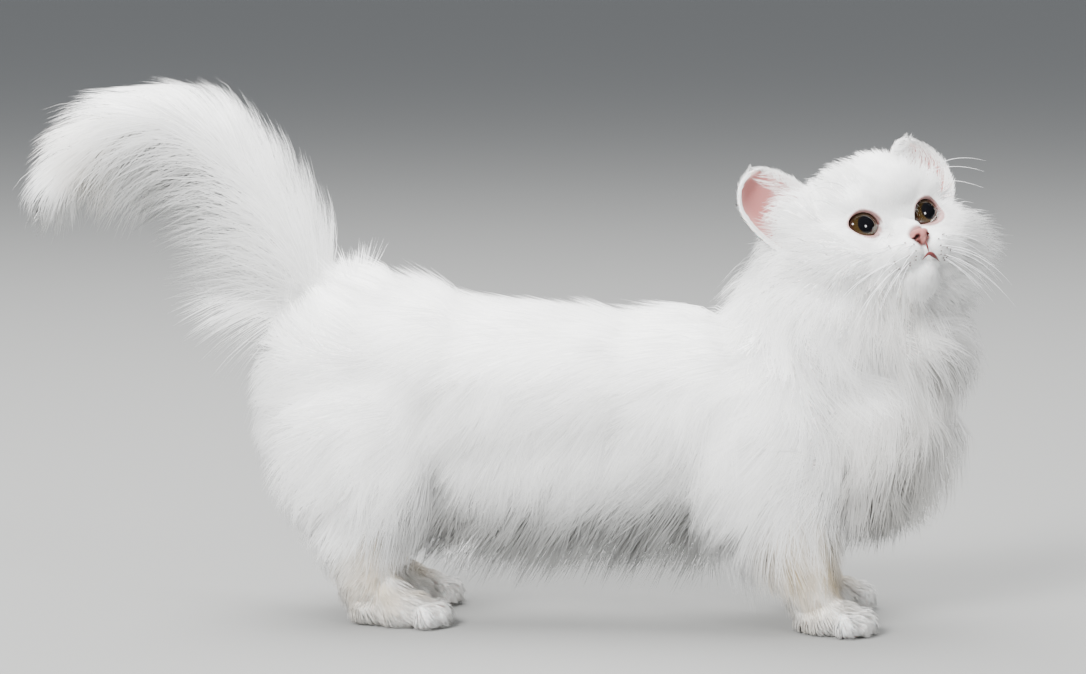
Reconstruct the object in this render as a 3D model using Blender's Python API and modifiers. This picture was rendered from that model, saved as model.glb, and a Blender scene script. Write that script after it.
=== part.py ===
"""Life-size still model of a standing long-haired munchkin cat that looks up to its right.

Metres, +Z up, +X towards the cat's front, +Y to its left. The origin is on the floor, under
the middle of the model's box. Flesh and undercoat are blended masses, parted into nodes by thin
conical cuts that follow the lie of the coat. The long coat is tapered locks, fused to each node.
"""

import math
import random

import bmesh
import bpy
from mathutils import Matrix, Vector

MM = 0.001
GAP = 0.3 * MM
SIDES = (("left", 1), ("right", -1))

# Driving dimensions of the body, along X, across Y and up Z.
PELVIS_X = -86 * MM
LOIN_X = -50 * MM
RIBS_X = 108 * MM
CHEST_X = 177 * MM
BACK_Z = 156 * MM
BODY_DEPTH = 90 * MM
BODY_WIDTH = 92 * MM
FRONT_STANCE = 62 * MM
HIND_STANCE = 58 * MM
ELBOW_X = 100 * MM
FRONT_PAW_X = 166 * MM
HIND_PAW_X = -53 * MM
PAW_WIDTH = 27 * MM
PAW_HEIGHT = 19 * MM
FRONT_TOE_OUT = math.radians(24)
HIND_TOE_OUT = math.radians(10)

# The undercoat that the cores hold over the skin is about half as deep as the coat.
UNDERCOAT = 8 * MM
CHEST_UNDERCOAT = 14 * MM
LEG_UNDERCOAT = 5 * MM
TAIL_UNDERCOAT = 11 * MM
TAIL_FRINGE = 8 * MM

# The head's middle, and how it is turned from facing along +X.
HEAD_CENTRE = Vector((187, -6, 203)) * MM
HEAD_YAW = math.radians(57)
HEAD_PITCH = math.radians(23)
HEAD_ROLL = math.radians(8)
EYE_RADIUS = 10.5 * MM
EYE_PLACE = Vector((11.8, 18.9, 1.5)) * MM
EYE_SPLAY = math.radians(14)
EYE_TILT = math.radians(12)
EYE_HALF_WIDTH = 9.0 * MM
EYE_HALF_HEIGHT = 7.2 * MM
LID_THICKNESS = 1.7 * MM
EAR_ROOT = Vector((-8, 40, 20)) * MM
EAR_THICKNESS = 2.4 * MM
EAR_CUP = 9 * MM

# The left ear's inner and outer edges from the root to the shared tip, as forward, left, up.
EAR_INNER_EDGE = ((-5, 20, 20), (-8, 26, 31), (-10, 30, 38), (-12, 36, 44), (-14, 42, 48), (-15, 48, 49))
EAR_OUTER_EDGE = ((-5, 46, -6), (-8, 57, 6), (-10, 64, 18), (-12, 66, 30), (-14, 61, 41), (-15, 52, 48))

# The tail's bone line in the plane Y = 0, from the rump to the tip: x, z and bone radius in mm.
TAIL_LINE = (
    (-92, 146, 9), (-106, 172, 8.5), (-119, 199, 8), (-134, 225, 7.5), (-154, 247, 7),
    (-180, 259, 6.5), (-207, 255, 6), (-229, 240, 5.5), (-240, 222, 5),
)
TAIL_TRAILING = (
    (-0.6, 0, -0.6), (-0.95, 0, -0.3), (-0.9, 0, -0.4), (-0.8, 0, -0.6), (-0.5, 0, -0.85),
    (0, 0, -1), (0.2, 0, -1), (0.5, 0, -0.8), (0.6, 0, -0.6),
)
TAIL_MIDDLE_START = 3
TAIL_TIP_START = 5

LOCK_SEED = 7
LOCK_TRIES = 12
LOCK_THICKNESS = 3.2 * MM
LOCK_SINK = 5 * MM
SHORT_LENGTH = 30 * MM

# Breadth and depth of a lock from its root to its tip, as shares of the full ones.
LONG_LOCK = ((0.62, 1.0), (1.0, 1.0), (0.78, 0.7), (0.0, 0.0))
SHORT_LOCK = ((0.7, 1.0), (1.0, 0.9), (0.0, 0.0))
ROOT_MARGIN = 3 * MM


def head_turn():
    """The rotation that takes the head's forward, left and up axes to the model's."""
    cos_yaw, sin_yaw = math.cos(HEAD_YAW), math.sin(HEAD_YAW)
    cos_pitch, sin_pitch = math.cos(HEAD_PITCH), math.sin(HEAD_PITCH)
    forward = Vector((cos_pitch * cos_yaw, -cos_pitch * sin_yaw, sin_pitch))
    level_left = Vector((sin_yaw, cos_yaw, 0))
    level_up = forward.cross(level_left)
    left = level_left * math.cos(HEAD_ROLL) + level_up * math.sin(HEAD_ROLL)
    up = level_up * math.cos(HEAD_ROLL) - level_left * math.sin(HEAD_ROLL)
    return Matrix((forward, left, up)).transposed()


HEAD_TURN = head_turn()


def on_head(place):
    """A place given as forward, left and up from the head's middle."""
    return HEAD_CENTRE + HEAD_TURN @ Vector(place)


def mirrored(place, side):
    """A place on the cat's left, moved to the side that is 1 for left and -1 for right."""
    return Vector((place[0], place[1] * side, place[2]))


def clear_scene():
    """Remove every object that the file starts with."""
    for item in list(bpy.data.objects):
        bpy.data.objects.remove(item)


def new_collection(name):
    """Make a collection under the scene's own."""
    made = bpy.data.collections.new(name)
    bpy.context.scene.collection.children.link(made)
    return made


def new_material(name, colour, roughness):
    """Make a Principled material of one colour."""
    made = bpy.data.materials.new(name)
    made.use_nodes = True
    shader = made.node_tree.nodes["Principled BSDF"]
    shader.inputs["Base Color"].default_value = (*colour, 1)
    shader.inputs["Roughness"].default_value = roughness
    shader.inputs["Metallic"].default_value = 0
    return made


def face_outwards(bm):
    """Turn all faces of a closed bmesh outwards."""
    bmesh.ops.recalc_face_normals(bm, faces=bm.faces)
    if bm.calc_volume(signed=True) < 0:
        bmesh.ops.reverse_faces(bm, faces=bm.faces)


def object_from(bm, name, collection):
    """Turn a bmesh into a named object in a collection."""
    mesh = bpy.data.meshes.new(name)
    bm.to_mesh(mesh)
    bm.free()
    made = bpy.data.objects.new(name, mesh)
    collection.objects.link(made)
    return made


def copied(item, name, collection):
    """Copy an object with its mesh."""
    made = bpy.data.objects.new(name, item.data.copy())
    collection.objects.link(made)
    return made


def add_ball(bm, centre, radii, turn=None, segments=24):
    """Add an ellipsoid, turned by a rotation matrix about its centre."""
    turned = turn.to_4x4() if turn else Matrix.Identity(4)
    place = Matrix.Translation(centre) @ turned @ Matrix.Diagonal((*radii, 1))
    bmesh.ops.create_uvsphere(
        bm, u_segments=segments, v_segments=segments * 2 // 3, radius=1, matrix=place
    )


def add_limb(bm, points):
    """Add a tapered limb through points, each a place and a radius."""
    for place, radius in points:
        add_ball(bm, place, (radius, radius, radius))
    for (start, first), (end, second) in zip(points, points[1:]):
        along = end - start
        turn = Vector((0, 0, 1)).rotation_difference(along).to_matrix().to_4x4()
        bmesh.ops.create_cone(
            bm, cap_ends=True, segments=24, radius1=first, radius2=second, depth=along.length,
            matrix=Matrix.Translation((start + end) / 2) @ turn,
        )


def applied(item, collection):
    """Replace an object by the mesh that its modifiers make."""
    graph = bpy.context.evaluated_depsgraph_get()
    mesh = bpy.data.meshes.new_from_object(item.evaluated_get(graph))
    made = bpy.data.objects.new(item.name + "_made", mesh)
    collection.objects.link(made)
    name = item.name
    bpy.data.objects.remove(item)
    made.name = name
    return made


def blended(item, collection, voxel, smoothing, triangles):
    """Melt overlapping masses into one smooth skin of about the given number of triangles."""
    remesh = item.modifiers.new("blend", "REMESH")
    remesh.mode = "VOXEL"
    remesh.voxel_size = voxel
    soften = item.modifiers.new("soften", "SMOOTH")
    soften.factor = 0.5
    soften.iterations = smoothing
    item = applied(item, collection)
    reduce = item.modifiers.new("reduce", "DECIMATE")
    reduce.ratio = triangles / (2 * len(item.data.polygons))
    return applied(item, collection)


def boolean(item, operation, other, collection):
    """Cut or join an object with another object, or with all objects of a collection."""
    change = item.modifiers.new("change", "BOOLEAN")
    change.operation = operation
    change.solver = "MANIFOLD"
    if isinstance(other, bpy.types.Collection):
        change.operand_type = "COLLECTION"
        change.collection = other
    else:
        change.object = other
    return applied(item, collection)


def grown(item, amount, collection):
    """A copy of a closed object with its surface moved outwards."""
    made = copied(item, item.name + "_grown", collection)
    swell = made.modifiers.new("swell", "DISPLACE")
    swell.mid_level = 0
    swell.strength = amount
    return applied(made, collection)


def keep_largest(item):
    """Keep only the largest closed surface of an object's mesh, as triangles."""
    bm = bmesh.new()
    bm.from_mesh(item.data)
    seen = set()
    shells = []
    for start in bm.faces:
        if start in seen:
            continue
        shell, front = [], [start]
        seen.add(start)
        while front:
            face = front.pop()
            shell.append(face)
            for edge in face.edges:
                fresh = [other for other in edge.link_faces if other not in seen]
                seen.update(fresh)
                front.extend(fresh)
        shells.append(shell)
    shells.sort(key=lambda shell: sum(face.calc_area() for face in shell))
    for shell in shells[:-1]:
        bmesh.ops.delete(bm, geom=shell, context="FACES")
    bmesh.ops.triangulate(bm, faces=bm.faces)
    face_outwards(bm)
    bm.to_mesh(item.data)
    bm.free()
    return item


def is_sound(item):
    """Whether every edge of an object joins exactly two faces."""
    bm = bmesh.new()
    bm.from_mesh(item.data)
    sound = all(len(edge.link_faces) == 2 for edge in bm.edges)
    bm.free()
    return sound


class Cell:
    """The space of one node: a drum along an axis whose first end is a cone in two slopes.

    The sweep is how far the cone goes along the axis from the middle to the core's surface, and
    the skirt how far it goes on from there to the radius where it has parted the coats.
    """

    def __init__(self, origin, axis, core, radius, length, sweep, skirt, side=0, wall=0.0):
        self.origin = Vector(origin)
        self.axis = Vector(axis).normalized()
        self.core = core
        self.radius = radius
        self.length = length
        self.sweep = sweep
        self.skirt = skirt
        self.side = side
        self.wall = max(wall, radius)

    def depth(self, place):
        """How far a place is past the conical end, or a negative number outside the drum."""
        offset = Vector(place) - self.origin
        along = offset.dot(self.axis)
        across = (offset - self.axis * along).length
        if across > self.wall or along > self.length or self.side * place[1] < 0:
            return -1.0
        if across < self.core:
            return along - self.sweep * across / self.core
        share = min(1.0, (across - self.core) / (self.radius - self.core))
        return along - self.sweep - self.skirt * share

    def solid(self, name, collection, shift=0.0):
        """The drum as a closed object, moved back along its axis by the shift."""
        profile = (
            (0, 0), (self.core, self.sweep), (self.radius, self.sweep + self.skirt),
            (self.wall + 1 * MM, self.sweep + self.skirt), (self.wall + 1 * MM, self.length),
            (0, self.length),
        )
        bm = bmesh.new()
        verts = [bm.verts.new((across, 0, along)) for across, along in profile]
        edges = [bm.edges.new(pair) for pair in zip(verts, verts[1:])]
        bmesh.ops.spin(
            bm, geom=verts + edges, cent=(0, 0, 0), axis=(0, 0, 1), angle=math.tau, steps=30
        )
        bmesh.ops.remove_doubles(bm, verts=bm.verts, dist=0.01 * MM)
        turn = Vector((0, 0, 1)).rotation_difference(self.axis).to_matrix().to_4x4()
        bm.transform(Matrix.Translation(self.origin - self.axis * shift) @ turn)
        if self.side:
            wall = GAP / 2 - shift
            cut = bmesh.ops.bisect_plane(
                bm, geom=bm.verts[:] + bm.edges[:] + bm.faces[:],
                plane_co=(0, self.side * wall, 0), plane_no=(0, self.side, 0), clear_inner=True,
            )
            rim = [item for item in cut["geom_cut"] if isinstance(item, bmesh.types.BMEdge)]
            bmesh.ops.contextual_create(bm, geom=rim)
        face_outwards(bm)
        return object_from(bm, name, collection)


def tail_points(collar=0.0):
    """The tail's bone line as places and radii, with a collar of coat added to the radii."""
    return [(Vector((x, 0, z)) * MM, radius * MM + collar) for x, z, radius in TAIL_LINE]


def tail_cell(start, core, sweep, skirt):
    """The space of the tail beyond one point of its line."""
    points = tail_points()
    here = points[start][0]
    ahead = points[start + 1][0]
    return Cell(here, ahead - here, core, 64 * MM, 260 * MM, sweep, skirt, wall=150 * MM)


def make_cells():
    """The spaces of all nodes that are parted from the torso, and the cells inside each."""
    cells = {
        "neck": Cell(
            Vector((168, -3, 148)) * MM, (0.42, 0, 0.91), 54 * MM, 74 * MM, 200 * MM,
            -12 * MM, -22 * MM,
        ),
        "head": Cell(
            on_head(Vector((-12, 0, -24)) * MM), (0.25, -0.17, 0.95),
            50 * MM, 64 * MM, 150 * MM, -8 * MM, -2 * MM, wall=100 * MM,
        ),
        "tail_base": tail_cell(0, 26 * MM, 10 * MM, 40 * MM),
        "tail_middle": tail_cell(TAIL_MIDDLE_START, 24 * MM, 8 * MM, 44 * MM),
        "tail_tip": tail_cell(TAIL_TIP_START, 22 * MM, 8 * MM, 44 * MM),
    }
    inside = {
        "torso": ["neck", "tail_base"], "neck": ["head"], "tail_base": ["tail_middle"],
        "tail_middle": ["tail_tip"],
    }
    for word, side in SIDES:
        front_y, hind_y = side * FRONT_STANCE / 2, side * HIND_STANCE / 2
        cells[f"front_leg_{word}"] = Cell(
            Vector((FRONT_PAW_X - 26 * MM, front_y, 92 * MM)), (0.1, 0, -1),
            24 * MM, 42 * MM, 110 * MM, 12 * MM, 26 * MM, side,
        )
        cells[f"hind_leg_{word}"] = Cell(
            Vector((HIND_PAW_X - 26 * MM, hind_y, 116 * MM)), (-0.05, 0, -1),
            30 * MM, 48 * MM, 130 * MM, 20 * MM, 26 * MM, side,
        )
        cells[f"front_paw_{word}"] = Cell(
            Vector((FRONT_PAW_X - 8 * MM, front_y, 24 * MM)), (0.1, 0, -1),
            20 * MM, 44 * MM, 60 * MM, 1 * MM, 4 * MM, side,
        )
        cells[f"hind_paw_{word}"] = Cell(
            Vector((HIND_PAW_X - 16 * MM, hind_y, 25 * MM)), (0.1, 0, -1),
            20 * MM, 52 * MM, 60 * MM, 1 * MM, 4 * MM, side,
        )
        inside["torso"] += [f"front_leg_{word}", f"hind_leg_{word}"]
        inside[f"front_leg_{word}"] = [f"front_paw_{word}"]
        inside[f"hind_leg_{word}"] = [f"hind_paw_{word}"]
    return cells, inside


def body_masses(bm):
    """The trunk, neck, legs and tail with their undercoat, as overlapping masses."""
    half_depth, half_width = BODY_DEPTH / 2, BODY_WIDTH / 2
    middle_z = BACK_Z - half_depth
    trunk = (
        ((RIBS_X, 0, middle_z), (74 * MM, half_width, half_depth), UNDERCOAT),
        ((CHEST_X, 0, middle_z + 1 * MM), (40 * MM, 0.9 * half_width, 0.94 * half_depth), CHEST_UNDERCOAT),
        ((8 * MM, 0, middle_z + 5 * MM), (108 * MM, 0.93 * half_width, 0.92 * half_depth), UNDERCOAT),
        ((22 * MM, 0, middle_z - 16 * MM), (96 * MM, 0.8 * half_width, 0.8 * half_depth), UNDERCOAT),
        ((LOIN_X, 0, middle_z + 14 * MM), (46 * MM, 0.9 * half_width, 0.9 * half_depth), UNDERCOAT),
        ((PELVIS_X, 0, middle_z + 14 * MM), (42 * MM, 0.94 * half_width, 0.94 * half_depth), UNDERCOAT),
        ((PELVIS_X + 14 * MM, 0, middle_z + 34 * MM), (26 * MM, 20 * MM, 30 * MM), UNDERCOAT),
        ((PELVIS_X - 8 * MM, 0, middle_z - 6 * MM), (30 * MM, 0.8 * half_width, 0.8 * half_depth), UNDERCOAT),
    )
    for centre, radii, coat in trunk:
        add_ball(bm, centre, [radius + coat for radius in radii])
    for _, side in SIDES:
        shoulder = (RIBS_X + 26 * MM, side * 0.75 * half_width, middle_z - 15 * MM)
        thigh = (PELVIS_X + 8 * MM, side * 0.7 * half_width, middle_z - 22 * MM)
        add_ball(bm, shoulder, (36 * MM, 22 * MM, 46 * MM))
        add_ball(bm, thigh, (40 * MM, 25 * MM, 46 * MM))
        front_y, hind_y = side * FRONT_STANCE / 2, side * HIND_STANCE / 2
        front_leg = (
            ((FRONT_PAW_X - 28 * MM, front_y, 80 * MM), 21 * MM),
            ((FRONT_PAW_X - 20 * MM, front_y, 50 * MM), 18 * MM),
            ((FRONT_PAW_X - 10 * MM, front_y, 20 * MM), 12 * MM),
        )
        hind_leg = (
            ((PELVIS_X + 14 * MM, hind_y, 76 * MM), 24 * MM),
            ((HIND_PAW_X - 26 * MM, hind_y, 46 * MM), 17 * MM),
            ((HIND_PAW_X - 20 * MM, hind_y, 20 * MM), 11 * MM),
        )
        for leg in (front_leg, hind_leg):
            add_limb(bm, [(Vector(place), radius + LEG_UNDERCOAT) for place, radius in leg])
    add_ball(bm, Vector((196, -2, 144)) * MM, Vector((40, 42, 30)) * MM)
    neck = (((146, 0, 126), 50), ((170, -3, 154), 52), ((182, -6, 178), 42))
    add_limb(bm, [(Vector(place) * MM, radius * MM) for place, radius in neck])
    add_limb(bm, tail_points(TAIL_UNDERCOAT))
    add_limb(bm, [
        (place + Vector(trailing) * TAIL_FRINGE, radius)
        for (place, radius), trailing in zip(tail_points(TAIL_UNDERCOAT), TAIL_TRAILING)
    ])


def head_masses(bm):
    """The skull with its short face fur, and the shells that the eyelids are cut from."""
    middle = (
        ((-6, 0, 8), (33, 36, 29)), ((9, 0, 16), (22, 26, 19)), ((23, 0, -5), (12, 9, 10)),
        ((22, 0, -30), (10, 10, 7.5)), ((3, 0, -22), (24, 24, 15)), ((-17, 0, -11), (27, 52, 40)),
        ((-3, 0, -36), (25, 50, 20)),
    )
    paired = (
        ((16, 16, 12), (10, 12, 7)), ((2, 26, -12), (23, 20, 21)), ((-12, 34, 12), (17, 13, 16)),
        ((26.5, 8.5, -18.5), (10.5, 10.5, 8.5)), ((16, 15, -18), (13, 13, 12)),
        ((-16, 42, -15), (17, 20, 24)),
    )
    for centre, radii in middle:
        add_ball(bm, on_head(Vector(centre) * MM), Vector(radii) * MM, HEAD_TURN)
    for _, side in SIDES:
        for centre, radii in paired:
            add_ball(bm, on_head(mirrored(centre, side) * MM), Vector(radii) * MM, HEAD_TURN)
        lid = EYE_RADIUS + GAP + LID_THICKNESS
        add_ball(bm, on_head(mirrored(EYE_PLACE, side)), (lid, lid, lid))


def eye_turn(side):
    """The rotation of an eye, its X out through the pupil and its Y to the cat's left."""
    splay = Matrix.Rotation(side * EYE_SPLAY, 3, "Z")
    tilt = Matrix.Rotation(side * EYE_TILT, 3, "X")
    return HEAD_TURN @ splay @ tilt


def eye_opening(name, side, collection):
    """The cutter between the lids: an almond drum with its point towards the nose."""
    bm = bmesh.new()
    steps = 22
    outline = []
    for step in range(steps):
        turn = math.tau * step / steps
        inner = max(0.0, -math.cos(turn)) ** 3
        across = EYE_HALF_WIDTH * (math.cos(turn) - 0.16 * inner)
        height = EYE_HALF_HEIGHT * math.sin(turn) * (1 if math.sin(turn) > 0 else 0.86)
        outline.append((side * across, height - 0.2 * EYE_HALF_HEIGHT * inner))
    face = bm.faces.new([bm.verts.new((0, across, height)) for across, height in outline])
    lifted = bmesh.ops.extrude_face_region(bm, geom=[face])
    top = [item for item in lifted["geom"] if isinstance(item, bmesh.types.BMVert)]
    bmesh.ops.translate(bm, verts=top, vec=(2 * EYE_RADIUS, 0, 0))
    face_outwards(bm)
    place = Matrix.Translation(on_head(mirrored(EYE_PLACE, side)))
    bm.transform(place @ eye_turn(side).to_4x4())
    return object_from(bm, name, collection)


def eyeball(name, side, radius, collection):
    """An eyeball, or the socket that it sits in."""
    bm = bmesh.new()
    add_ball(bm, on_head(mirrored(EYE_PLACE, side)), (radius, radius, radius), segments=15)
    return object_from(bm, name, collection)


def groove(name, places, radius, collection):
    """A round cutter along a line of places on the head, in millimetres."""
    curve = bpy.data.curves.new(name, "CURVE")
    curve.dimensions = "3D"
    curve.bevel_depth = radius
    curve.bevel_resolution = 1
    curve.resolution_u = 3
    curve.use_fill_caps = True
    line = curve.splines.new("POLY")
    line.points.add(len(places) - 1)
    for point, place in zip(line.points, places):
        point.co = (*on_head(Vector(place) * MM), 1)
    item = applied(link_new(bpy.data.objects.new(name, curve), collection), collection)
    bm = bmesh.new()
    bm.from_mesh(item.data)
    bmesh.ops.remove_doubles(bm, verts=bm.verts, dist=0.001 * MM)
    face_outwards(bm)
    bm.to_mesh(item.data)
    bm.free()
    return item


def link_new(item, collection):
    """Link a new object to a collection and return it."""
    collection.objects.link(item)
    return item


def mouth_cutters(collection):
    """The mouth's line under the whisker pads, and the furrow from the nose down to it."""
    lips = [
        (20, -15.5, -24), (25, -13, -26.5), (31, -9, -27), (35.5, -4, -25), (37, 0, -23),
        (35.5, 4, -25), (31, 9, -27), (25, 13, -26.5), (20, 15.5, -24),
    ]
    furrow = [(37.2, 0, -15), (37.6, 0, -19), (37, 0, -23.5)]
    return [
        groove("mouth_cut", lips, 1.1 * MM, collection),
        groove("furrow_cut", furrow, 0.7 * MM, collection),
    ]


def make_nose(collection):
    """The bare nose pad with its two wings and nostrils."""
    bm = bmesh.new()
    add_ball(bm, on_head(Vector((33.5, 0, -12.5)) * MM), Vector((3.6, 3.2, 4.6)) * MM, HEAD_TURN)
    for _, side in SIDES:
        wing = on_head(mirrored((32.8, 3.0, -11.2), side) * MM)
        add_ball(bm, wing, Vector((3.4, 3.0, 2.6)) * MM, HEAD_TURN)
    nose = blended(object_from(bm, "nose", collection), collection, 0.45 * MM, 3, 110)
    for word, side in SIDES:
        bm = bmesh.new()
        nostril = on_head(mirrored((35.6, 4.1, -12.2), side) * MM)
        add_ball(bm, nostril, Vector((2.2, 1.3, 1.0)) * MM, HEAD_TURN, segments=10)
        cutter = object_from(bm, f"nostril_{word}", collection)
        nose = boolean(nose, "DIFFERENCE", cutter, collection)
        bpy.data.objects.remove(cutter)
    return keep_largest(nose)


def make_ear(word, side, collection):
    """An ear: a cupped leaf with a round tip, thickened and rooted in the head."""
    columns = 7
    bm = bmesh.new()
    grid = []
    for inner, outer in zip(EAR_INNER_EDGE, EAR_OUTER_EDGE):
        inner, outer = (mirrored(edge, side) * MM for edge in (inner, outer))
        bow = EAR_CUP * min(1.0, (outer - inner).length / (30 * MM))
        line = []
        for column in range(columns):
            share = column / (columns - 1)
            cup = Vector((-4 * bow * share * (1 - share), 0, 0))
            line.append(bm.verts.new(on_head(inner.lerp(outer, share) + cup)))
        grid.append(line)
    for low, high in zip(grid, grid[1:]):
        for corner in range(columns - 1):
            bm.faces.new((low[corner], low[corner + 1], high[corner + 1], high[corner]))
    face_outwards(bm)
    item = object_from(bm, f"ear_{word}", collection)
    thick = item.modifiers.new("thickness", "SOLIDIFY")
    thick.thickness = EAR_THICKNESS
    thick.offset = 0
    item = applied(item, collection)
    bm = bmesh.new()
    bm.from_mesh(item.data)
    face_outwards(bm)
    bm.to_mesh(item.data)
    bm.free()
    return item


def make_paw(name, centre, toe_out, heel, collection):
    """A paw with four toes, flat underneath, that points forward and is turned out."""
    turn = Matrix.Rotation(toe_out, 3, "Z")
    half = PAW_WIDTH / 2

    def place(x, y, z):
        return centre + turn @ Vector((x, y, z))

    bm = bmesh.new()
    add_ball(bm, place(-3 * MM, 0, 8 * MM), (16 * MM, half, PAW_HEIGHT - 8 * MM), turn)
    for toe in range(4):
        spread = math.radians(-36 + 24 * toe)
        reach = (15.5 if toe in (1, 2) else 13.5) * MM
        spot = place(reach * math.cos(spread), 1.05 * reach * math.sin(spread), 6 * MM)
        aim = turn @ Matrix.Rotation(spread, 3, "Z")
        add_ball(bm, spot, (8.5 * MM, 4.8 * MM, 7.2 * MM), aim)
    ankle = place(-12 * MM - heel / 2, 0, 22 * MM)
    add_limb(bm, [(place(-6 * MM, 0, 10 * MM), 11 * MM), (ankle, 15 * MM)])
    if heel:
        add_limb(bm, [(place(-6 * MM, 0, 9.5 * MM), 11 * MM), (place(-heel, 0, 10 * MM), 11 * MM)])
    paw = blended(object_from(bm, name, collection), collection, 1.3 * MM, 3, 270)
    bm = bmesh.new()
    bm.from_mesh(paw.data)
    cut = bmesh.ops.bisect_plane(
        bm, geom=bm.verts[:] + bm.edges[:] + bm.faces[:], plane_co=(0, 0, 0),
        plane_no=(0, 0, 1), clear_inner=True,
    )
    rim = [item for item in cut["geom_cut"] if isinstance(item, bmesh.types.BMEdge)]
    bmesh.ops.holes_fill(bm, edges=rim)
    bmesh.ops.triangulate(bm, faces=bm.faces)
    face_outwards(bm)
    bm.to_mesh(paw.data)
    bm.free()
    return paw


def add_lock(bm, root, outward, lie, size, rise, droop):
    """Add one flat, tapered lock that leaves the surface at a rise and bends to its lie."""
    length, width = size
    shape = LONG_LOCK if length > SHORT_LENGTH else SHORT_LOCK
    side = outward.cross(lie).normalized()
    place = root - (outward * math.sin(rise) + lie * 0.5) * LOCK_SINK
    last = len(shape) - 1
    rings = []
    for index, (breadth, depth) in enumerate(shape):
        share = index / last
        angle = rise * (1 - 0.75 * share)
        along = (lie * math.cos(angle) + outward * math.sin(angle)).normalized()
        over = along.cross(side).normalized()
        over = over if over.dot(outward) > 0 else -over
        spot = place - Vector((0, 0, droop * length * share * share))
        if index == last:
            rings.append([bm.verts.new(spot)])
        else:
            half, thick = breadth * width / 2, depth * LOCK_THICKNESS / 2
            corners = (side * half, over * thick, -side * half, -over * thick)
            rings.append([bm.verts.new(spot + corner) for corner in corners])
        place = place + along * ((length + LOCK_SINK) / last)
    faces = [bm.faces.new(rings[0])]
    for low, high in zip(rings, rings[1:]):
        for corner in range(4):
            after = (corner + 1) % 4
            if len(high) == 1:
                faces.append(bm.faces.new((low[corner], low[after], high[0])))
            else:
                faces.append(bm.faces.new((low[corner], low[after], high[after], high[corner])))
    bmesh.ops.recalc_face_normals(bm, faces=faces)


def spread_roots(item, spacing_at, source):
    """Places spread evenly over an object's surface, each with the way out of it."""
    faces = [face for face in item.data.polygons]
    weights = [face.area for face in faces]
    verts = item.data.vertices
    chosen = []
    for face in source.choices(faces, weights, k=9000):
        first, second = sorted((source.random(), source.random()))
        corners = [verts[index].co for index in face.vertices[:3]]
        spot = corners[0] * first + corners[1] * (second - first) + corners[2] * (1 - second)
        spacing = spacing_at(spot, face.normal)
        if spacing and all((spot - other).length > spacing for other, _ in chosen):
            chosen.append((spot, face.normal.copy()))
    return chosen


def nearest_on_tail(place):
    """The tail line's point nearest to a place, and the line's direction there."""
    points = [point for point, _ in tail_points()]
    best = min(range(len(points)), key=lambda index: (points[index] - place).length)
    ahead = points[min(best + 1, len(points) - 1)]
    behind = points[max(best - 1, 0)]
    return points[best], (ahead - behind).normalized()


def owner_of(place, cells, inside, node="torso"):
    """The node that a place on the body belongs to, or None near a cut."""
    for child in inside.get(node, []):
        depth = cells[child].depth(place)
        if depth > ROOT_MARGIN:
            return owner_of(place, cells, inside, child)
        if depth > -ROOT_MARGIN and depth != -1.0:
            return None
    return node


def body_lie(node, place, outward):
    """The lie, size, rise and droop of the coat at a place on the body."""
    down = Vector((0, 0, -1))
    back = Vector((-1, 0, 0))
    under = max(0.0, -outward.z)
    flank = 1 - abs(outward.z)
    if node.startswith("tail"):
        _, along = nearest_on_tail(place)
        if node == "tail_tip":
            return along, ((22 + 4 * under) * MM, 22 * MM), 0.2 + 0.4 * under, 0.1 * under
        trailing = max(0.0, min(1.0, 1.4 * outward.dot(Vector((-0.7, 0, -0.7)))))
        flow = along + down * 0.5 * trailing
        return flow, ((36 + 6 * trailing) * MM, 28 * MM), 0.2 + 0.8 * trailing, 0.25 * trailing
    if node == "neck":
        flow = down + Vector((outward.x * 0.25, outward.y * 0.1, 0))
        return flow, (42 * MM, 25 * MM), 0.42, 0.05
    if node.startswith("front_leg"):
        return down + back * 0.35, (24 * MM, 17 * MM), 0.35, 0
    if node.startswith("hind_leg"):
        rear = max(0.0, -outward.x)
        flow = down * (1 - 0.5 * rear) + back * (0.5 + 0.4 * rear)
        return flow, ((26 + 10 * rear) * MM, 19 * MM), 0.3 + 0.25 * rear, 0
    if place.x > CHEST_X:
        flow = down + Vector((0.1, 0, 0))
        return flow, (38 * MM, 27 * MM), 0.34, 0.05
    if place.x < PELVIS_X:
        rear = max(0.0, -outward.x)
        return back + down * (0.55 + 0.3 * rear), (36 * MM, 24 * MM), 0.3 + 0.25 * rear, 0.1
    flow = back + down * (0.25 + 1.1 * flank + 1.2 * under)
    rise = 0.2 + 0.12 * flank + 0.5 * under
    elbow = max(0.0, 1 - abs(place.x - ELBOW_X) / (34 * MM))
    return flow, ((36 + (14 + 18 * elbow) * under) * MM, 26 * MM), rise, 0.1 * under


def body_spacing(cells, inside):
    """A function of place and outward direction that spaces the locks of the body."""
    def spacing_at(place, outward):
        node = owner_of(place, cells, inside)
        if node is None or node.endswith(("paw_left", "paw_right")):
            return 0
        if node.startswith("tail"):
            return 28 * MM if outward.dot(Vector((-0.7, 0, -0.7))) < 0.2 else 17 * MM
        if "leg" in node:
            return 27 * MM if place.z > 26 * MM else 0
        if node == "torso" and outward.z > 0.6:
            return 44 * MM
        if node == "torso" and outward.z < -0.55:
            return 24 * MM
        return 33 * MM
    return spacing_at


def lock_objects(roots, describe, collection, source):
    """One closed object for each lock, grown from its root."""
    for number, (spot, outward) in enumerate(roots):
        flow, (length, width), rise, droop = describe(spot, outward)
        lie = flow - outward * flow.dot(outward)
        if lie.length < 0.02:
            lie = outward.orthogonal()
        lie.normalize()
        lie = Matrix.Rotation(source.uniform(-0.16, 0.16), 3, outward) @ lie
        size = (length * source.uniform(0.85, 1.12), width * source.uniform(0.85, 1.1))
        bm = bmesh.new()
        add_lock(bm, spot, outward, lie, size, rise * source.uniform(0.85, 1.15), droop)
        object_from(bm, f"lock_{number}", collection)


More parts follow.
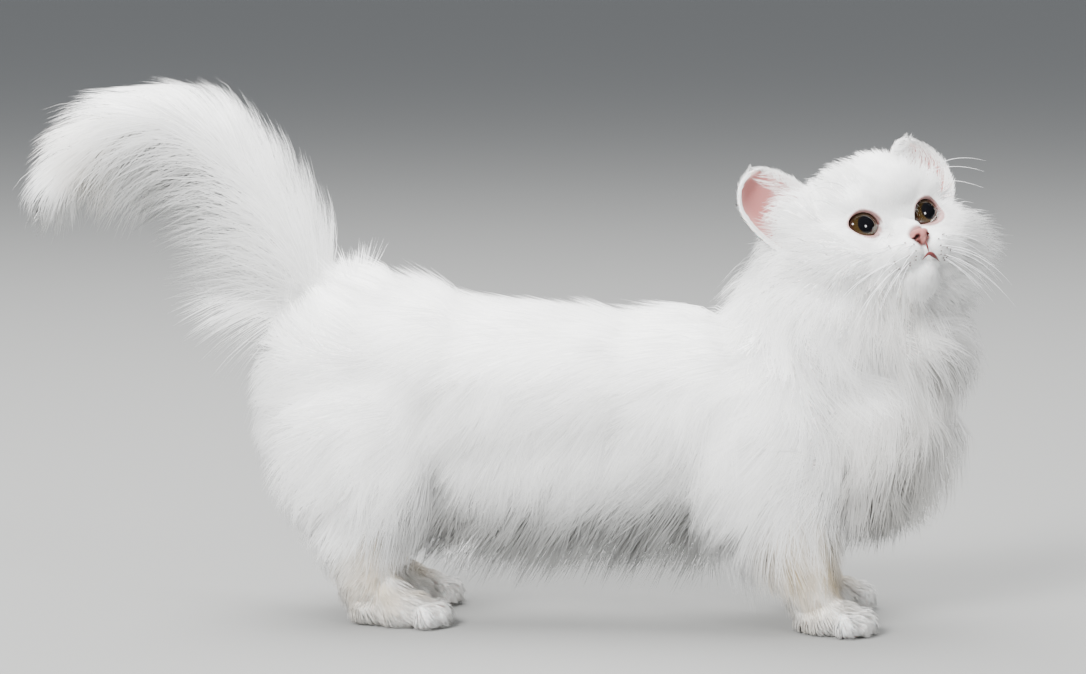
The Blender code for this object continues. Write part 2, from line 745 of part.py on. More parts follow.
def fused(item, locks, collection):
    """Join a node with the locks of a collection, whose objects are then removed."""
    if locks.objects:
        item = boolean(item, "UNION", locks, collection)
    for lock in list(locks.objects):
        bpy.data.objects.remove(lock)
    bpy.data.collections.remove(locks)
    return item


def parted(item, name, cells, inside, collection):
    """Cut a node out of its stuff: inside its own cell and clear of the cells within it."""
    around = name
    while around in cells:
        cell = cells[around].solid("cell_cut", collection)
        item = boolean(item, "INTERSECT", cell, collection)
        bpy.data.objects.remove(cell)
        around = next(outer for outer, inner in inside.items() if around in inner)
    for child in inside.get(name, []):
        cell = cells[child].solid("child_cut", collection, shift=1.4 * GAP)
        item = boolean(item, "DIFFERENCE", cell, collection)
        bpy.data.objects.remove(cell)
    item = keep_largest(item)
    item.name = name
    return item


def coated(core, name, roots, describe, cells, inside, workshop, source):
    """A node cut from a core and its locks, grown again while two locks touch at an edge."""
    for _ in range(LOCK_TRIES):
        locks = new_collection("locks_" + name)
        lock_objects(roots, describe, locks, source)
        item = fused(copied(core, "stuff", workshop), locks, workshop)
        item = parted(item, name, cells, inside, workshop)
        if is_sound(item):
            return item
        bpy.data.objects.remove(item)
    raise RuntimeError(f"{name} has no sound coat after {LOCK_TRIES} tries")


def ruff_spacing(place, outward):
    """Space the ruff's locks over the cheeks and the back of the head, clear of the ears."""
    local = HEAD_TURN.transposed() @ (place - HEAD_CENTRE)
    facing = (HEAD_TURN.transposed() @ outward).x
    for _, side in SIDES:
        if (local - mirrored(EAR_ROOT, side)).length < 18 * MM:
            return 0
    if local.z > 26 * MM or local.x > 8 * MM or facing > 0.5:
        return 0
    return 22 * MM


def ruff_lie(place, outward):
    """The lie of the ruff: out from the cheeks, back and down."""
    local = HEAD_TURN.transposed() @ (place - HEAD_CENTRE)
    sideways = max(-1.0, min(1.0, local.y / (40 * MM)))
    flow = HEAD_TURN @ Vector((-0.55, 0.7 * sideways, -0.7))
    return flow, (36 * MM, 23 * MM), 0.55, 0


def make_head(cells, inside, collection, workshop, source):
    """The head with lids, mouth line and ruff, and sockets for the eyes, nose and ears."""
    bm = bmesh.new()
    head_masses(bm)
    core = blended(object_from(bm, "skull", workshop), workshop, 1.6 * MM, 4, 1060)
    roots = spread_roots(core, ruff_spacing, source)
    head = coated(core, "head", roots, ruff_lie, cells, inside, workshop, source)
    bpy.data.objects.remove(core)
    cutters = mouth_cutters(workshop)
    for word, side in SIDES:
        cutters.append(eyeball(f"socket_{word}", side, EYE_RADIUS + GAP, workshop))
        cutters.append(eye_opening(f"opening_{word}", side, workshop))
    for item in [make_nose(collection)] + [make_ear(*pair, collection) for pair in SIDES]:
        cutters.append(grown(item, 1.4 * GAP, workshop))
    for cutter in cutters:
        head = boolean(head, "DIFFERENCE", cutter, workshop)
        bpy.data.objects.remove(cutter)
    for word, side in SIDES:
        eyeball(f"eye_{word}", side, EYE_RADIUS, collection)
    return keep_largest(head)


def make_body(cells, inside, workshop, source):
    """All nodes of the trunk, neck, legs and tail, with their locks."""
    bm = bmesh.new()
    body_masses(bm)
    body = blended(object_from(bm, "body", workshop), workshop, 3 * MM, 14, 1200)
    roots = {}
    for spot, outward in spread_roots(body, body_spacing(cells, inside), source):
        roots.setdefault(owner_of(spot, cells, inside), []).append((spot, outward))
    made = []
    for name in ["torso"] + list(cells):
        if name == "head" or "paw" in name:
            continue
        def describe(place, outward, node=name):
            return body_lie(node, place, outward)

        made.append(coated(body, name, roots.get(name, []), describe, cells, inside, workshop, source))
    bpy.data.objects.remove(body)
    return made


def make_paws(cells, inside, workshop):
    """The four paws, cut at the wrist and the heel."""
    made = []
    for word, side in SIDES:
        front = Vector((FRONT_PAW_X, side * FRONT_STANCE / 2, 0))
        hind = Vector((HIND_PAW_X, side * HIND_STANCE / 2, 0))
        for name, centre, toe_out, heel in (
            (f"front_paw_{word}", front, FRONT_TOE_OUT, 0),
            (f"hind_paw_{word}", hind, HIND_TOE_OUT, 20 * MM),
        ):
            paw = make_paw(name, centre, side * toe_out, heel, workshop)
            made.append(parted(paw, name, cells, inside, workshop))
    return made


def centred(items):
    """Move the meshes so that the origin is under the middle of the box around them all."""
    spots = [vert.co for item in items for vert in item.data.vertices]
    low = [min(spot[axis] for spot in spots) for axis in range(3)]
    high = [max(spot[axis] for spot in spots) for axis in range(3)]
    shift = Vector((-(low[0] + high[0]) / 2, -(low[1] + high[1]) / 2, -low[2]))
    for item in items:
        item.data.transform(Matrix.Translation(shift))


def main():
    """Build every node in its own object, and dress each in its material."""
    clear_scene()
    cat = new_collection("munchkin_cat")
    workshop = new_collection("workshop")
    source = random.Random(LOCK_SEED)
    cells, inside = make_cells()
    nodes = make_body(cells, inside, workshop, source)
    nodes += make_paws(cells, inside, workshop)
    nodes.append(make_head(cells, inside, cat, workshop, source))
    for node in nodes:
        workshop.objects.unlink(node)
        cat.objects.link(node)
    bpy.data.collections.remove(workshop)
    centred(cat.objects)
    coat = new_material("white_coat", (0.86, 0.86, 0.83), 0.8)
    bare = new_material("pink_skin", (0.78, 0.45, 0.42), 0.5)
    glossy = new_material("eye", (0.16, 0.07, 0.02), 0.08)
    for item in cat.objects:
        material = coat
        if item.name.startswith("eye"):
            material = glossy
        elif item.name == "nose":
            material = bare
        item.data.materials.clear()
        item.data.materials.append(material)


main()
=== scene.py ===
"""Looks of a life-size still model of a standing long-haired munchkin cat.

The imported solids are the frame. One skin takes the place of the flesh, tufts of solid mesh lie
over it as the coat, and the eyes, ears, nose, lips, whiskers and paw pads are pieces of their
own. Sizes are millimetres in the drawing's axes: +X to the cat's front, +Y to its left, +Z up.
Places on the head are forward, left and up from its middle.
"""

from __future__ import annotations

import logging
import math
from dataclasses import dataclass, field
from enum import Enum

import bmesh
import bpy
import numpy as np
from mathutils import Matrix, Vector, kdtree


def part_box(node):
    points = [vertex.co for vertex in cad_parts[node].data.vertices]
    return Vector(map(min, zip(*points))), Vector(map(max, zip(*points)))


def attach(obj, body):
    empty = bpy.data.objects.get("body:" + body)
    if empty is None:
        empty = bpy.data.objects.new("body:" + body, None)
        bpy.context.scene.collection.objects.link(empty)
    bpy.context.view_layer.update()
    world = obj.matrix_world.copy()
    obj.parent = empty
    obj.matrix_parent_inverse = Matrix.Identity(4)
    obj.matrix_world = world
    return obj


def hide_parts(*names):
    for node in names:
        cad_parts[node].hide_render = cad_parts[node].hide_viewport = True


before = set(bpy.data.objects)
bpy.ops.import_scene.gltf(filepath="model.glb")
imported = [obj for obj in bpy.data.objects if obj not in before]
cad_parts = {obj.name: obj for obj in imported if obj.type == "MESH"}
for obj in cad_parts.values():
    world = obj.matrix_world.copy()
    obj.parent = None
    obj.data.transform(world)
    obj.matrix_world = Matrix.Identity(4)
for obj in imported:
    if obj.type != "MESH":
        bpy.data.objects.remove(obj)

MM = 0.001
LOG = logging.getLogger("munchkin_cat")
# A distance in millimetres that is farther than anything on the cat.
NEVER = 1e6
ROOT_TRIANGLES = 60000
COAT_SEED = 40
EAR_SEED = 7
WHISKER_SEED = 11


class Side(Enum):
    """The cat's own left and right."""

    LEFT = 1
    RIGHT = -1


class Region(Enum):
    """The parts of the coat that are made as pieces of their own."""

    BACK = "coat_back"
    FLANK_LEFT = "coat_flank_left"
    FLANK_RIGHT = "coat_flank_right"
    BELLY = "coat_belly"
    RUMP = "coat_rump"
    CHEST = "coat_chest"
    TAIL = "coat_tail"
    LEGS = "coat_legs"
    PAWS = "coat_paws"
    RUFF = "coat_ruff"
    FACE = "coat_face"


def unit(vectors: np.ndarray) -> np.ndarray:
    """Vectors scaled to length one."""
    return vectors / np.maximum(np.linalg.norm(vectors, axis=-1, keepdims=True), 1e-9)


def ramp(low: float, high: float, value: np.ndarray) -> np.ndarray:
    """A soft step from nought at low to one at high."""
    share = np.clip((value - low) / (high - low), 0.0, 1.0)
    return share * share * (3 - 2 * share)


def mix(first: np.ndarray, second: np.ndarray, share: np.ndarray) -> np.ndarray:
    """Values between two, by the share of the second."""
    return first * (1 - share) + second * share


def mirrored(place: tuple, side: Side) -> np.ndarray:
    """A place with its left coordinate turned to the given side."""
    return np.array(place, dtype=float) * (1, side.value, 1)


def new_object(name: str, mesh: bpy.types.Mesh) -> bpy.types.Object:
    """Link a new object that holds a mesh.

    Args:
        name: The piece's name.
        mesh: The mesh.

    Returns:
        The object.
    """
    item = bpy.data.objects.new(name, mesh)
    bpy.context.scene.collection.objects.link(item)
    return item


def new_shape(name: str, verts: list, edges: list, faces: list) -> bpy.types.Object:
    """Link a new object made of places in metres, with the edges or faces between them.

    Args:
        name: The piece's name.
        verts: The places in metres, one a row.
        edges: The numbers of the two places of each edge.
        faces: The numbers of the places of each face.

    Returns:
        The object.
    """
    mesh = bpy.data.meshes.new(name)
    mesh.from_pydata([tuple(spot) for spot in verts], edges, faces)
    return new_object(name, mesh)


def applied(item: bpy.types.Object) -> bpy.types.Object:
    """Turn an object's evaluated shape into its plain mesh and clear its modifiers.

    Args:
        item: The object with its modifiers.

    Returns:
        The same object with a plain mesh.
    """
    graph = bpy.context.evaluated_depsgraph_get()
    mesh = bpy.data.meshes.new_from_object(item.evaluated_get(graph))
    item.modifiers.clear()
    item.data = mesh
    return item


def outward_faces(item: bpy.types.Object) -> None:
    """Turn every face of a closed mesh outwards.

    Args:
        item: The piece.
    """
    bm = bmesh.new()
    bm.from_mesh(item.data)
    bmesh.ops.recalc_face_normals(bm, faces=bm.faces)
    if bm.calc_volume(signed=True) < 0:
        bmesh.ops.reverse_faces(bm, faces=bm.faces)
    bm.to_mesh(item.data)
    bm.free()


def points_of(mesh: bpy.types.Mesh) -> np.ndarray:
    """The places of a mesh's vertices.

    Args:
        mesh: The mesh.

    Returns:
        One row for each vertex.
    """
    flat = np.empty(len(mesh.vertices) * 3)
    mesh.vertices.foreach_get("co", flat)
    return flat.reshape(-1, 3)


def paint(mesh: bpy.types.Mesh, name: str, colours: np.ndarray) -> None:
    """Keep a colour for each vertex in a named attribute.

    Args:
        mesh: The mesh.
        name: The attribute's name.
        colours: One row of red, green and blue for each vertex.
    """
    layer = mesh.color_attributes.new(name, "FLOAT_COLOR", "POINT")
    whole = np.ones((len(colours), 4))
    whole[:, :3] = colours
    layer.data.foreach_set("color", whole.ravel())


def dress(item: bpy.types.Object, material: bpy.types.Material) -> bpy.types.Object:
    """Give every face of a finished piece one material and soft shading.

    Args:
        item: The piece.
        material: Its finish.

    Returns:
        The same piece.
    """
    item.data.materials.clear()
    item.data.materials.append(material)
    first_slot = np.zeros(len(item.data.polygons), dtype=np.int32)
    item.data.polygons.foreach_set("material_index", first_slot)
    item.data.shade_smooth()
    return item


@dataclass(frozen=True)
class HeadPose:
    """Where the head's middle is, and how the head is turned from facing along +X."""

    centre: tuple = (187, -6, 203)
    yaw: float = math.radians(57)
    pitch: float = math.radians(23)
    roll: float = math.radians(8)

    def turn(self) -> np.ndarray:
        """The rotation whose columns are the head's forward, left and up axes.

        Returns:
            The matrix.
        """
        forward = np.array((
            math.cos(self.pitch) * math.cos(self.yaw), -math.cos(self.pitch) * math.sin(self.yaw),
            math.sin(self.pitch),
        ))
        level_left = np.array((math.sin(self.yaw), math.cos(self.yaw), 0))
        level_up = np.cross(forward, level_left)
        left = level_left * math.cos(self.roll) + level_up * math.sin(self.roll)
        up = level_up * math.cos(self.roll) - level_left * math.sin(self.roll)
        return np.array((forward, left, up)).T

    def place(self, local: np.ndarray) -> np.ndarray:
        """Places on the head as places in the drawing."""
        return np.asarray(self.centre, dtype=float) + np.asarray(local, dtype=float) @ self.turn().T

    def local(self, points: np.ndarray) -> np.ndarray:
        """Places in the drawing as forward, left and up on the head."""
        return (points - np.asarray(self.centre, dtype=float)) @ self.turn()


@dataclass(frozen=True)
class EyePlan:
    """The eyeballs and the openings between their lids."""

    place: tuple = (11.8, 18.9, 1.5)
    radius: float = 10.5
    splay: float = math.radians(6)
    tilt: float = math.radians(12)
    half_width: float = 9.2
    half_height: float = 7.3
    lid: float = 1.7
    gap: float = 0.3

    def axes(self, head: HeadPose, side: Side) -> np.ndarray:
        """An eye's rotation, its first column out through the pupil and its second to the left.

        Args:
            head: The head's pose.
            side: The side of the body.

        Returns:
            The matrix.
        """
        splay = Matrix.Rotation(side.value * self.splay, 3, "Z")
        tilt = Matrix.Rotation(side.value * self.tilt, 3, "X")
        return head.turn() @ np.array(splay @ tilt)

    def middle(self, head: HeadPose, side: Side) -> np.ndarray:
        """An eye's middle in the drawing."""
        return head.place(mirrored(self.place, side))

    def near(self, head: HeadPose, side: Side, points: np.ndarray) -> np.ndarray:
        """Places in the drawing as out through the pupil, left and up from an eye's middle."""
        return (points - self.middle(head, side)) @ self.axes(head, side)

    def ring(self, near: np.ndarray, spread: float) -> np.ndarray:
        """How far places are from the pupil, where one is the spread beyond the lids' edge."""
        across = near[:, 1] / (self.half_width + spread)
        return np.hypot(across, near[:, 2] / (self.half_height + spread))

    def outline(self, side: Side, steps: int, spread: float = 0.0) -> np.ndarray:
        """The almond between the lids, its point towards the nose.

        Args:
            side: Which eye.
            steps: How many places to give.
            spread: How much wider and higher the almond is made.

        Returns:
            Places as across and up from the pupil.
        """
        turn = np.linspace(0, math.tau, steps, endpoint=False)
        inner = np.maximum(0.0, -np.cos(turn)) ** 3
        across = (self.half_width + spread) * (np.cos(turn) - 0.16 * inner)
        tall = np.where(np.sin(turn) > 0, 1.0, 0.86) * (self.half_height + spread)
        height = tall * np.sin(turn) - 0.2 * self.half_height * inner
        return np.stack((side.value * across, height), axis=1)

    def on_ball(self, head: HeadPose, side: Side, across_up: np.ndarray, radius: float) -> np.ndarray:
        """Places across and up from the pupil, laid on a ball of the given radius.

        Args:
            head: The head's pose.
            side: The side of the body.
            across_up: Places across and up from the pupil.
            radius: The ball's radius.

        Returns:
            The places in the drawing.
        """
        depth = np.sqrt(np.maximum(radius ** 2 - (across_up ** 2).sum(axis=1), 0.0))
        local = np.column_stack((depth, across_up))
        return self.middle(head, side) + local @ self.axes(head, side).T


@dataclass(frozen=True)
class Placement:
    """Moves finished shapes from the drawing, in millimetres, to the model's frame, in metres."""

    shift: tuple

    @classmethod
    def from_eye(cls, head: HeadPose, eyes: EyePlan) -> Placement:
        """The placement that lays the drawing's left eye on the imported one.

        Args:
            head: The head's pose.
            eyes: The eyes' plan.

        Returns:
            The placement.
        """
        low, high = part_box("eye_left")
        packed = (np.array(low) + np.array(high)) / 2 / MM
        drawn = eyes.middle(head, Side.LEFT)
        return cls(tuple(np.round(packed - drawn, 3) * (1, 1, 0)))

    def metres(self, points: np.ndarray) -> np.ndarray:
        """Places in the drawing as places in the model's frame."""
        return (np.asarray(points, dtype=float) + self.shift) * MM

    def drawing(self, points: np.ndarray) -> np.ndarray:
        """Places in the model's frame as places in the drawing."""
        return np.asarray(points, dtype=float) / MM - self.shift


@dataclass(frozen=True)
class Ball:
    """An ellipsoid of flesh."""

    centre: tuple
    radii: tuple
    axes: np.ndarray = field(default_factory=lambda: np.eye(3))

    SEGMENTS = 40
    HEIGHTS = 25

    def distance(self, points: np.ndarray) -> np.ndarray:
        """About how far each place is outside the ball.

        Args:
            points: Places in the drawing, one a row.

        Returns:
            The distances in millimetres, negative inside.
        """
        local = (points - np.asarray(self.centre)) @ self.axes
        radii = np.asarray(self.radii, dtype=float)
        near = np.linalg.norm(local / radii, axis=-1)
        slope = np.linalg.norm(local / radii ** 2, axis=-1)
        return near * (near - 1) / np.maximum(slope, 1e-6)

    def shells(self) -> list:
        """The ball as one closed shell.

        Returns:
            A list with the one shell.
        """
        rise = np.linspace(0, math.pi, self.HEIGHTS)
        verts, faces = spun(self.SEGMENTS, np.sin(rise), -np.cos(rise))
        return [((verts * self.radii) @ np.asarray(self.axes).T + self.centre, faces)]


@dataclass(frozen=True)
class Limb:
    """A round tapered limb through places with radii."""

    points: tuple

    def distance(self, points: np.ndarray) -> np.ndarray:
        """How far each place is outside the limb.

        Args:
            points: Places in the drawing, one a row.

        Returns:
            The distances in millimetres, negative inside.
        """
        best = np.full(points.shape[:-1], NEVER)
        for (start, first), (end, second) in zip(self.points, self.points[1:]):
            start, along = np.array(start, dtype=float), np.subtract(end, start).astype(float)
            share = np.clip((points - start) @ along / (along @ along), 0, 1)
            gap = np.linalg.norm(points - start - share[..., None] * along, axis=-1)
            best = np.minimum(best, gap - first - share * (second - first))
        return best

    def shells(self) -> list:
        """The limb as closed shells: balls with cones between them.

        Returns:
            The shells.
        """
        made = [shell for place, radius in self.points for shell in Ball(place, (radius,) * 3).shells()]
        for (start, first), (end, second) in zip(self.points, self.points[1:]):
            along = Vector(np.subtract(end, start))
            turn = np.array(Vector((0, 0, 1)).rotation_difference(along).to_matrix())
            heights = np.array((0, 0, 1, 1)) * along.length
            verts, faces = spun(Ball.SEGMENTS, np.array((0, first, second, 0)), heights)
            made.append((verts @ turn.T + start, faces))
        return made


def spun(segments: int, radii: np.ndarray, heights: np.ndarray) -> tuple:
    """A closed shell spun round the upright axis.

    Args:
        segments: How many steps go round.
        radii: The radius at each height, nought at both ends.
        heights: The heights from the lowest up.

    Returns:
        Its vertices and its faces.
    """
    turn = np.linspace(0, math.tau, segments, endpoint=False)
    rings = [np.column_stack((radius * np.cos(turn), radius * np.sin(turn), np.full(segments, height)))
             for radius, height in zip(radii[1:-1], heights[1:-1])]
    verts = np.concatenate([[(0, 0, heights[0])], *rings, [(0, 0, heights[-1])]])
    last = len(verts) - 1
    faces = []
    for index in range(segments):
        after = (index + 1) % segments
        faces.append((0, 1 + after, 1 + index))
        faces.append((last, last - segments + index, last - segments + after))
        for ring in range(len(rings) - 1):
            low = 1 + ring * segments
            faces.append((low + index, low + after, low + segments + after, low + segments + index))
    return verts, faces


def clay(name: str, masses: list, placement: Placement, voxel: float, passes: int) -> bpy.types.Object:
    """Blend masses into one smooth closed mesh.

    Args:
        name: The object's name.
        masses: Balls and limbs that overlap.
        placement: Where the drawing lies in the model's frame.
        voxel: The size of the remesh's cells, in millimetres.
        passes: How many smoothing passes follow.

    Returns:
        The object.
    """
    verts, faces = [], []
    for spots, corners in (shell for mass in masses for shell in mass.shells()):
        first = len(verts)
        verts.extend(placement.metres(spots))
        faces.extend([tuple(first + corner for corner in face) for face in corners])
    item = new_shape(name, verts, [], faces)
    remesh = item.modifiers.new("blend", "REMESH")
    remesh.mode = "VOXEL"
    remesh.voxel_size = voxel * MM
    soften = item.modifiers.new("soften", "SMOOTH")
    soften.factor = 0.5
    soften.iterations = passes
    return applied(item)


def combine(item: bpy.types.Object, other: bpy.types.Object, operation: str) -> bpy.types.Object:
    """Join or cut an object by another, which is then removed.

    Args:
        item: The object that changes.
        other: The object it is joined with or cut by.
        operation: UNION or DIFFERENCE.

    Returns:
        The changed object.
    """
    outward_faces(other)
    change = item.modifiers.new("combine", "BOOLEAN")
    change.operation = operation
    change.solver = "MANIFOLD"
    change.object = other
    item = applied(item)
    bpy.data.objects.remove(other)
    return item


@dataclass(frozen=True)
class BodyPlan:
    """The trunk, legs, paws and tail as masses of flesh without their coat."""

    pelvis_x: float = -86
    loin_x: float = -50
    ribs_x: float = 108
    chest_x: float = 177
    back_z: float = 156
    depth: float = 90
    width: float = 92
    front_stance: float = 62
    hind_stance: float = 58
    front_paw_x: float = 166
    hind_paw_x: float = -53
    paw_width: float = 27
    paw_height: float = 19
    front_toe_out: float = math.radians(24)
    hind_toe_out: float = math.radians(10)
    heel: float = 20
    toe_spreads: tuple = (-36, -12, 12, 36)
    tail: tuple = (
        ((-92, 0, 146), 9), ((-106, 0, 172), 8.5), ((-119, 0, 199), 8), ((-134, 0, 225), 7.5),
        ((-154, 0, 247), 7), ((-180, 0, 259), 6.5), ((-207, 0, 255), 6), ((-229, 0, 240), 5.5),
        ((-240, 0, 222), 5),
    )

    def trunk(self) -> list:
        """The ribs, chest, loin, belly, rump, shoulders and thighs.

        Returns:
            The masses.
        """
        deep, wide = self.depth / 2, self.width / 2
        middle = self.back_z - deep
        masses = [
            Ball((self.ribs_x, 0, middle), (74, wide, deep)),
            Ball((self.chest_x, 0, middle + 1), (40, 0.9 * wide, 0.94 * deep)),
            Ball((8, 0, middle + 5), (108, 0.93 * wide, 0.92 * deep)),
            Ball((22, 0, middle - 16), (96, 0.8 * wide, 0.8 * deep)),
            Ball((self.loin_x, 0, middle + 14), (46, 0.9 * wide, 0.9 * deep)),
            Ball((self.pelvis_x, 0, middle + 14), (42, 0.94 * wide, 0.94 * deep)),
            Ball((self.pelvis_x + 14, 0, middle + 34), (26, 20, 30)),
            Ball((self.pelvis_x - 8, 0, middle - 6), (30, 0.8 * wide, 0.8 * deep)),
        ]
        for side in Side:
            masses.append(Ball((self.ribs_x + 26, side.value * 0.75 * wide, middle - 15), (32, 18, 42)))
            masses.append(Ball((self.pelvis_x + 8, side.value * 0.7 * wide, middle - 22), (36, 21, 42)))
        return masses

    def neck(self) -> list:
        """The neck, from the shoulders into the head."""
        return [
            Limb((((146, 0, 126), 42), ((170, -3, 154), 44), ((182, -6, 178), 38))),
            Ball((196, -2, 144), (30, 34, 26)),
        ]

    def front_leg(self, side: Side) -> Limb:
        """One front leg, from the elbow to the wrist.

        Args:
            side: The side of the body.

        Returns:
            The leg.
        """
        y = side.value * self.front_stance / 2
        x = self.front_paw_x
        return Limb((((x - 28, y, 80), 21), ((x - 20, y, 50), 18), ((x - 10, y, 20), 12)))

    def hind_leg(self, side: Side) -> Limb:
        """One hind leg, from the knee to the hock.

        Args:
            side: The side of the body.

        Returns:
            The leg.
        """
        y = side.value * self.hind_stance / 2
        x = self.hind_paw_x
        knee = ((self.pelvis_x + 14, y, 76), 24)
        return Limb((knee, ((x - 26, y, 46), 17), ((x - 20, y, 20), 11)))

    def paw_frames(self) -> list:
        """Each paw's middle on the floor, its turn outwards and the length of its heel.

        Returns:
            One entry for each paw.
        """
        frames = []
        for side in Side:
            front = np.array((self.front_paw_x, side.value * self.front_stance / 2, 0))
            hind = np.array((self.hind_paw_x, side.value * self.hind_stance / 2, 0))
            frames.append((front, side.value * self.front_toe_out, 0))
            frames.append((hind, side.value * self.hind_toe_out, self.heel))
        return frames

    def toes(self, middle: float, outer: float, height: float) -> list:
        """Where the four toes of a paw are from its middle, and how each is spread.

        Args:
            middle: How far the two middle toes reach.
            outer: How far the two outer toes reach.
            height: How high they are.

        Returns:
            One place and one angle for each toe.
        """
        found = []
        for degrees, reach in zip(self.toe_spreads, (outer, middle, middle, outer)):
            spread = math.radians(degrees)
            found.append(((reach * math.cos(spread), 1.08 * reach * math.sin(spread), height), spread))
        return found

    def paw(self, centre: np.ndarray, toe_out: float, heel: float) -> list:
        """The masses of one paw: its middle, four toes, wrist and heel.

        Args:
            centre: The paw's middle on the floor.
            toe_out: How far the paw is turned outwards.
            heel: How far the heel reaches back, or nought.

        Returns:
            The balls and limbs.
        """
        turn = np.array(Matrix.Rotation(toe_out, 3, "Z"))

        def put(x: float, y: float, z: float) -> tuple:
            """A place on the paw as a place in the drawing."""
            return tuple(centre + turn @ np.array((x, y, z)))

        masses = [Ball(put(-3, 0, 8), (16, self.paw_width / 2 - 0.6, self.paw_height - 8.6), turn)]
        for spot, spread in self.toes(15.2, 13.2, 6.2):
            aim = turn @ np.array(Matrix.Rotation(spread, 3, "Z"))
            masses.append(Ball(put(*spot), (8.2, 4.5, 6.6), aim))
        ankle = put(-12 - heel / 2, 0, 22)
        masses.append(Limb(((put(-6, 0, 10), 10.4), (ankle, 12))))
        if heel:
            masses.append(Limb(((put(-6, 0, 9.5), 10.4), (put(-heel, 0, 10), 10.4))))
        return masses

    def paws(self) -> list:
        """The masses of all four paws."""
        return [mass for frame in self.paw_frames() for mass in self.paw(*frame)]

    def legs(self) -> list:
        """All four legs."""
        return [leg(side) for side in Side for leg in (self.front_leg, self.hind_leg)]


@dataclass(frozen=True)
class HeadPlan:
    """The skull and face as masses, and the lines of the mouth."""

    pose: HeadPose
    eyes: EyePlan
    middle: tuple = (
        ((-6, 0, 7), (30, 36, 28)), ((8, 0, 17), (20, 26, 18)), ((22, 0, -9), (12.5, 7.5, 8)),
        ((22, 0, -30), (10, 10, 7.5)), ((3, 0, -22), (24, 24, 15)), ((-17, 0, -11), (26, 44, 36)),
        ((-3, 0, -33), (22, 40, 17)),
    )
    paired: tuple = (
        ((14, 20, 13), (9, 10, 6.5)), ((2, 26, -12), (23, 20, 21)), ((-12, 34, 12), (17, 13, 16)),
        ((26.5, 8.5, -18.5), (10.5, 10.5, 8.5)), ((16, 15, -18), (13, 13, 12)),
        ((-16, 36, -13), (15, 17, 20)),
    )
    nose: tuple = (33.5, 0, -12.5)
    lips: tuple = (
        (20, -15.5, -24), (25, -13, -26.5), (31, -9, -27), (35.5, -4, -25), (37, 0, -23),
        (35.5, 4, -25), (31, 9, -27), (25, 13, -26.5), (20, 15.5, -24),
    )
    furrow: tuple = ((37.2, 0, -15), (37.6, 0, -19), (37, 0, -23.5))

    def masses(self) -> list:
        """The balls of the head in the drawing.

        Returns:
            The balls.
        """
        axes = self.pose.turn()
        made = [Ball(tuple(self.pose.place(spot)), radii, axes) for spot, radii in self.middle]
        for side in Side:
            for spot, radii in self.paired:
                made.append(Ball(tuple(self.pose.place(mirrored(spot, side))), radii, axes))
        return made

    def lids(self) -> list:
        """The shells that the eyelids are cut from."""
        radius = self.eyes.radius + self.eyes.gap + self.eyes.lid
        return [Ball(tuple(self.eyes.middle(self.pose, side)), (radius,) * 3) for side in Side]


@dataclass(frozen=True)
class Finish:
    """A finish whose colour comes from an attribute painted on the mesh, or is the same all over."""

    name: str
    colour: tuple = (0.9, 0.9, 0.88)
    painted: str = ""
    roughness: float = 0.6
    specular: float = 0.3
    sheen: float = 0.0
    gloss_coat: float = 0.0
    flesh: float = 0.0
    bump: float = 0.0
    bump_scale: float = 600.0

    def build(self) -> bpy.types.Material:
        """Make the material.

        Returns:
            A node material with one Principled shader.
        """
        material = bpy.data.materials.new(self.name)
        material.use_nodes = True
        nodes, links = material.node_tree.nodes, material.node_tree.links
        shader = nodes["Principled BSDF"]
        values = {
            "Base Color": (*self.colour, 1), "Roughness": self.roughness,
            "Specular IOR Level": self.specular, "Sheen Weight": self.sheen, "Sheen Roughness": 0.4,
            "Coat Weight": self.gloss_coat, "Coat Roughness": 0.02, "Subsurface Weight": self.flesh,
            "Subsurface Radius": (1.0, 0.55, 0.45), "Subsurface Scale": 0.004,
        }
        for name, value in values.items():
            shader.inputs[name].default_value = value
        if self.painted:
            paint_node = nodes.new("ShaderNodeAttribute")
            paint_node.attribute_name = self.painted
            links.new(paint_node.outputs["Color"], shader.inputs["Base Color"])
        if self.bump:
            place = nodes.new("ShaderNodeTexCoord")
            grain = nodes.new("ShaderNodeTexNoise")
            grain.inputs["Scale"].default_value = self.bump_scale
            grain.inputs["Detail"].default_value = 4
            relief = nodes.new("ShaderNodeBump")
            relief.inputs["Strength"].default_value = self.bump
            relief.inputs["Distance"].default_value = 0.0006
            links.new(place.outputs["Object"], grain.inputs["Vector"])
            links.new(grain.outputs["Fac"], relief.inputs["Height"])
            links.new(relief.outputs["Normal"], shader.inputs["Normal"])
        return material


FINISHES = {
    "coat": Finish("white_fur", painted="shade", roughness=0.65, specular=0.2, sheen=0.1),
    "skin": Finish("bare_skin", painted="shade", roughness=0.6, flesh=0.2, bump=0.3),
    "eye": Finish("amber_eye", painted="shade", roughness=0.5, specular=0.0, gloss_coat=1.0),
    "lid": Finish("lid_rim", colour=(0.24, 0.12, 0.11), roughness=0.3, specular=0.5, gloss_coat=0.3),
    "ear": Finish("ear_skin", painted="shade", roughness=0.5, flesh=0.5, bump=0.25, bump_scale=900),
    "nose": Finish("pink_nose", painted="shade", roughness=0.42, flesh=0.15, bump=0.5, bump_scale=1800),
    # The mouth's line: dark lip skin, with the shade of the mouth's crease painted into it.
    "lips": Finish("lips", colour=(0.13, 0.03, 0.03), roughness=0.35, flesh=0.1, bump=0.2),
    "spots": Finish("whisker_root", colour=(0.20, 0.17, 0.16), roughness=0.7, bump=0.2),
    "whiskers": Finish("whisker", colour=(0.95, 0.95, 0.95), roughness=0.25, specular=0.6),
    "pads": Finish(
        "paw_pad", colour=(0.72, 0.42, 0.38), roughness=0.55, flesh=0.3, bump=0.6, bump_scale=1200,
    ),
    "floor": Finish("floor_paper", colour=(0.27, 0.27, 0.262), roughness=0.85, specular=0.1),
}


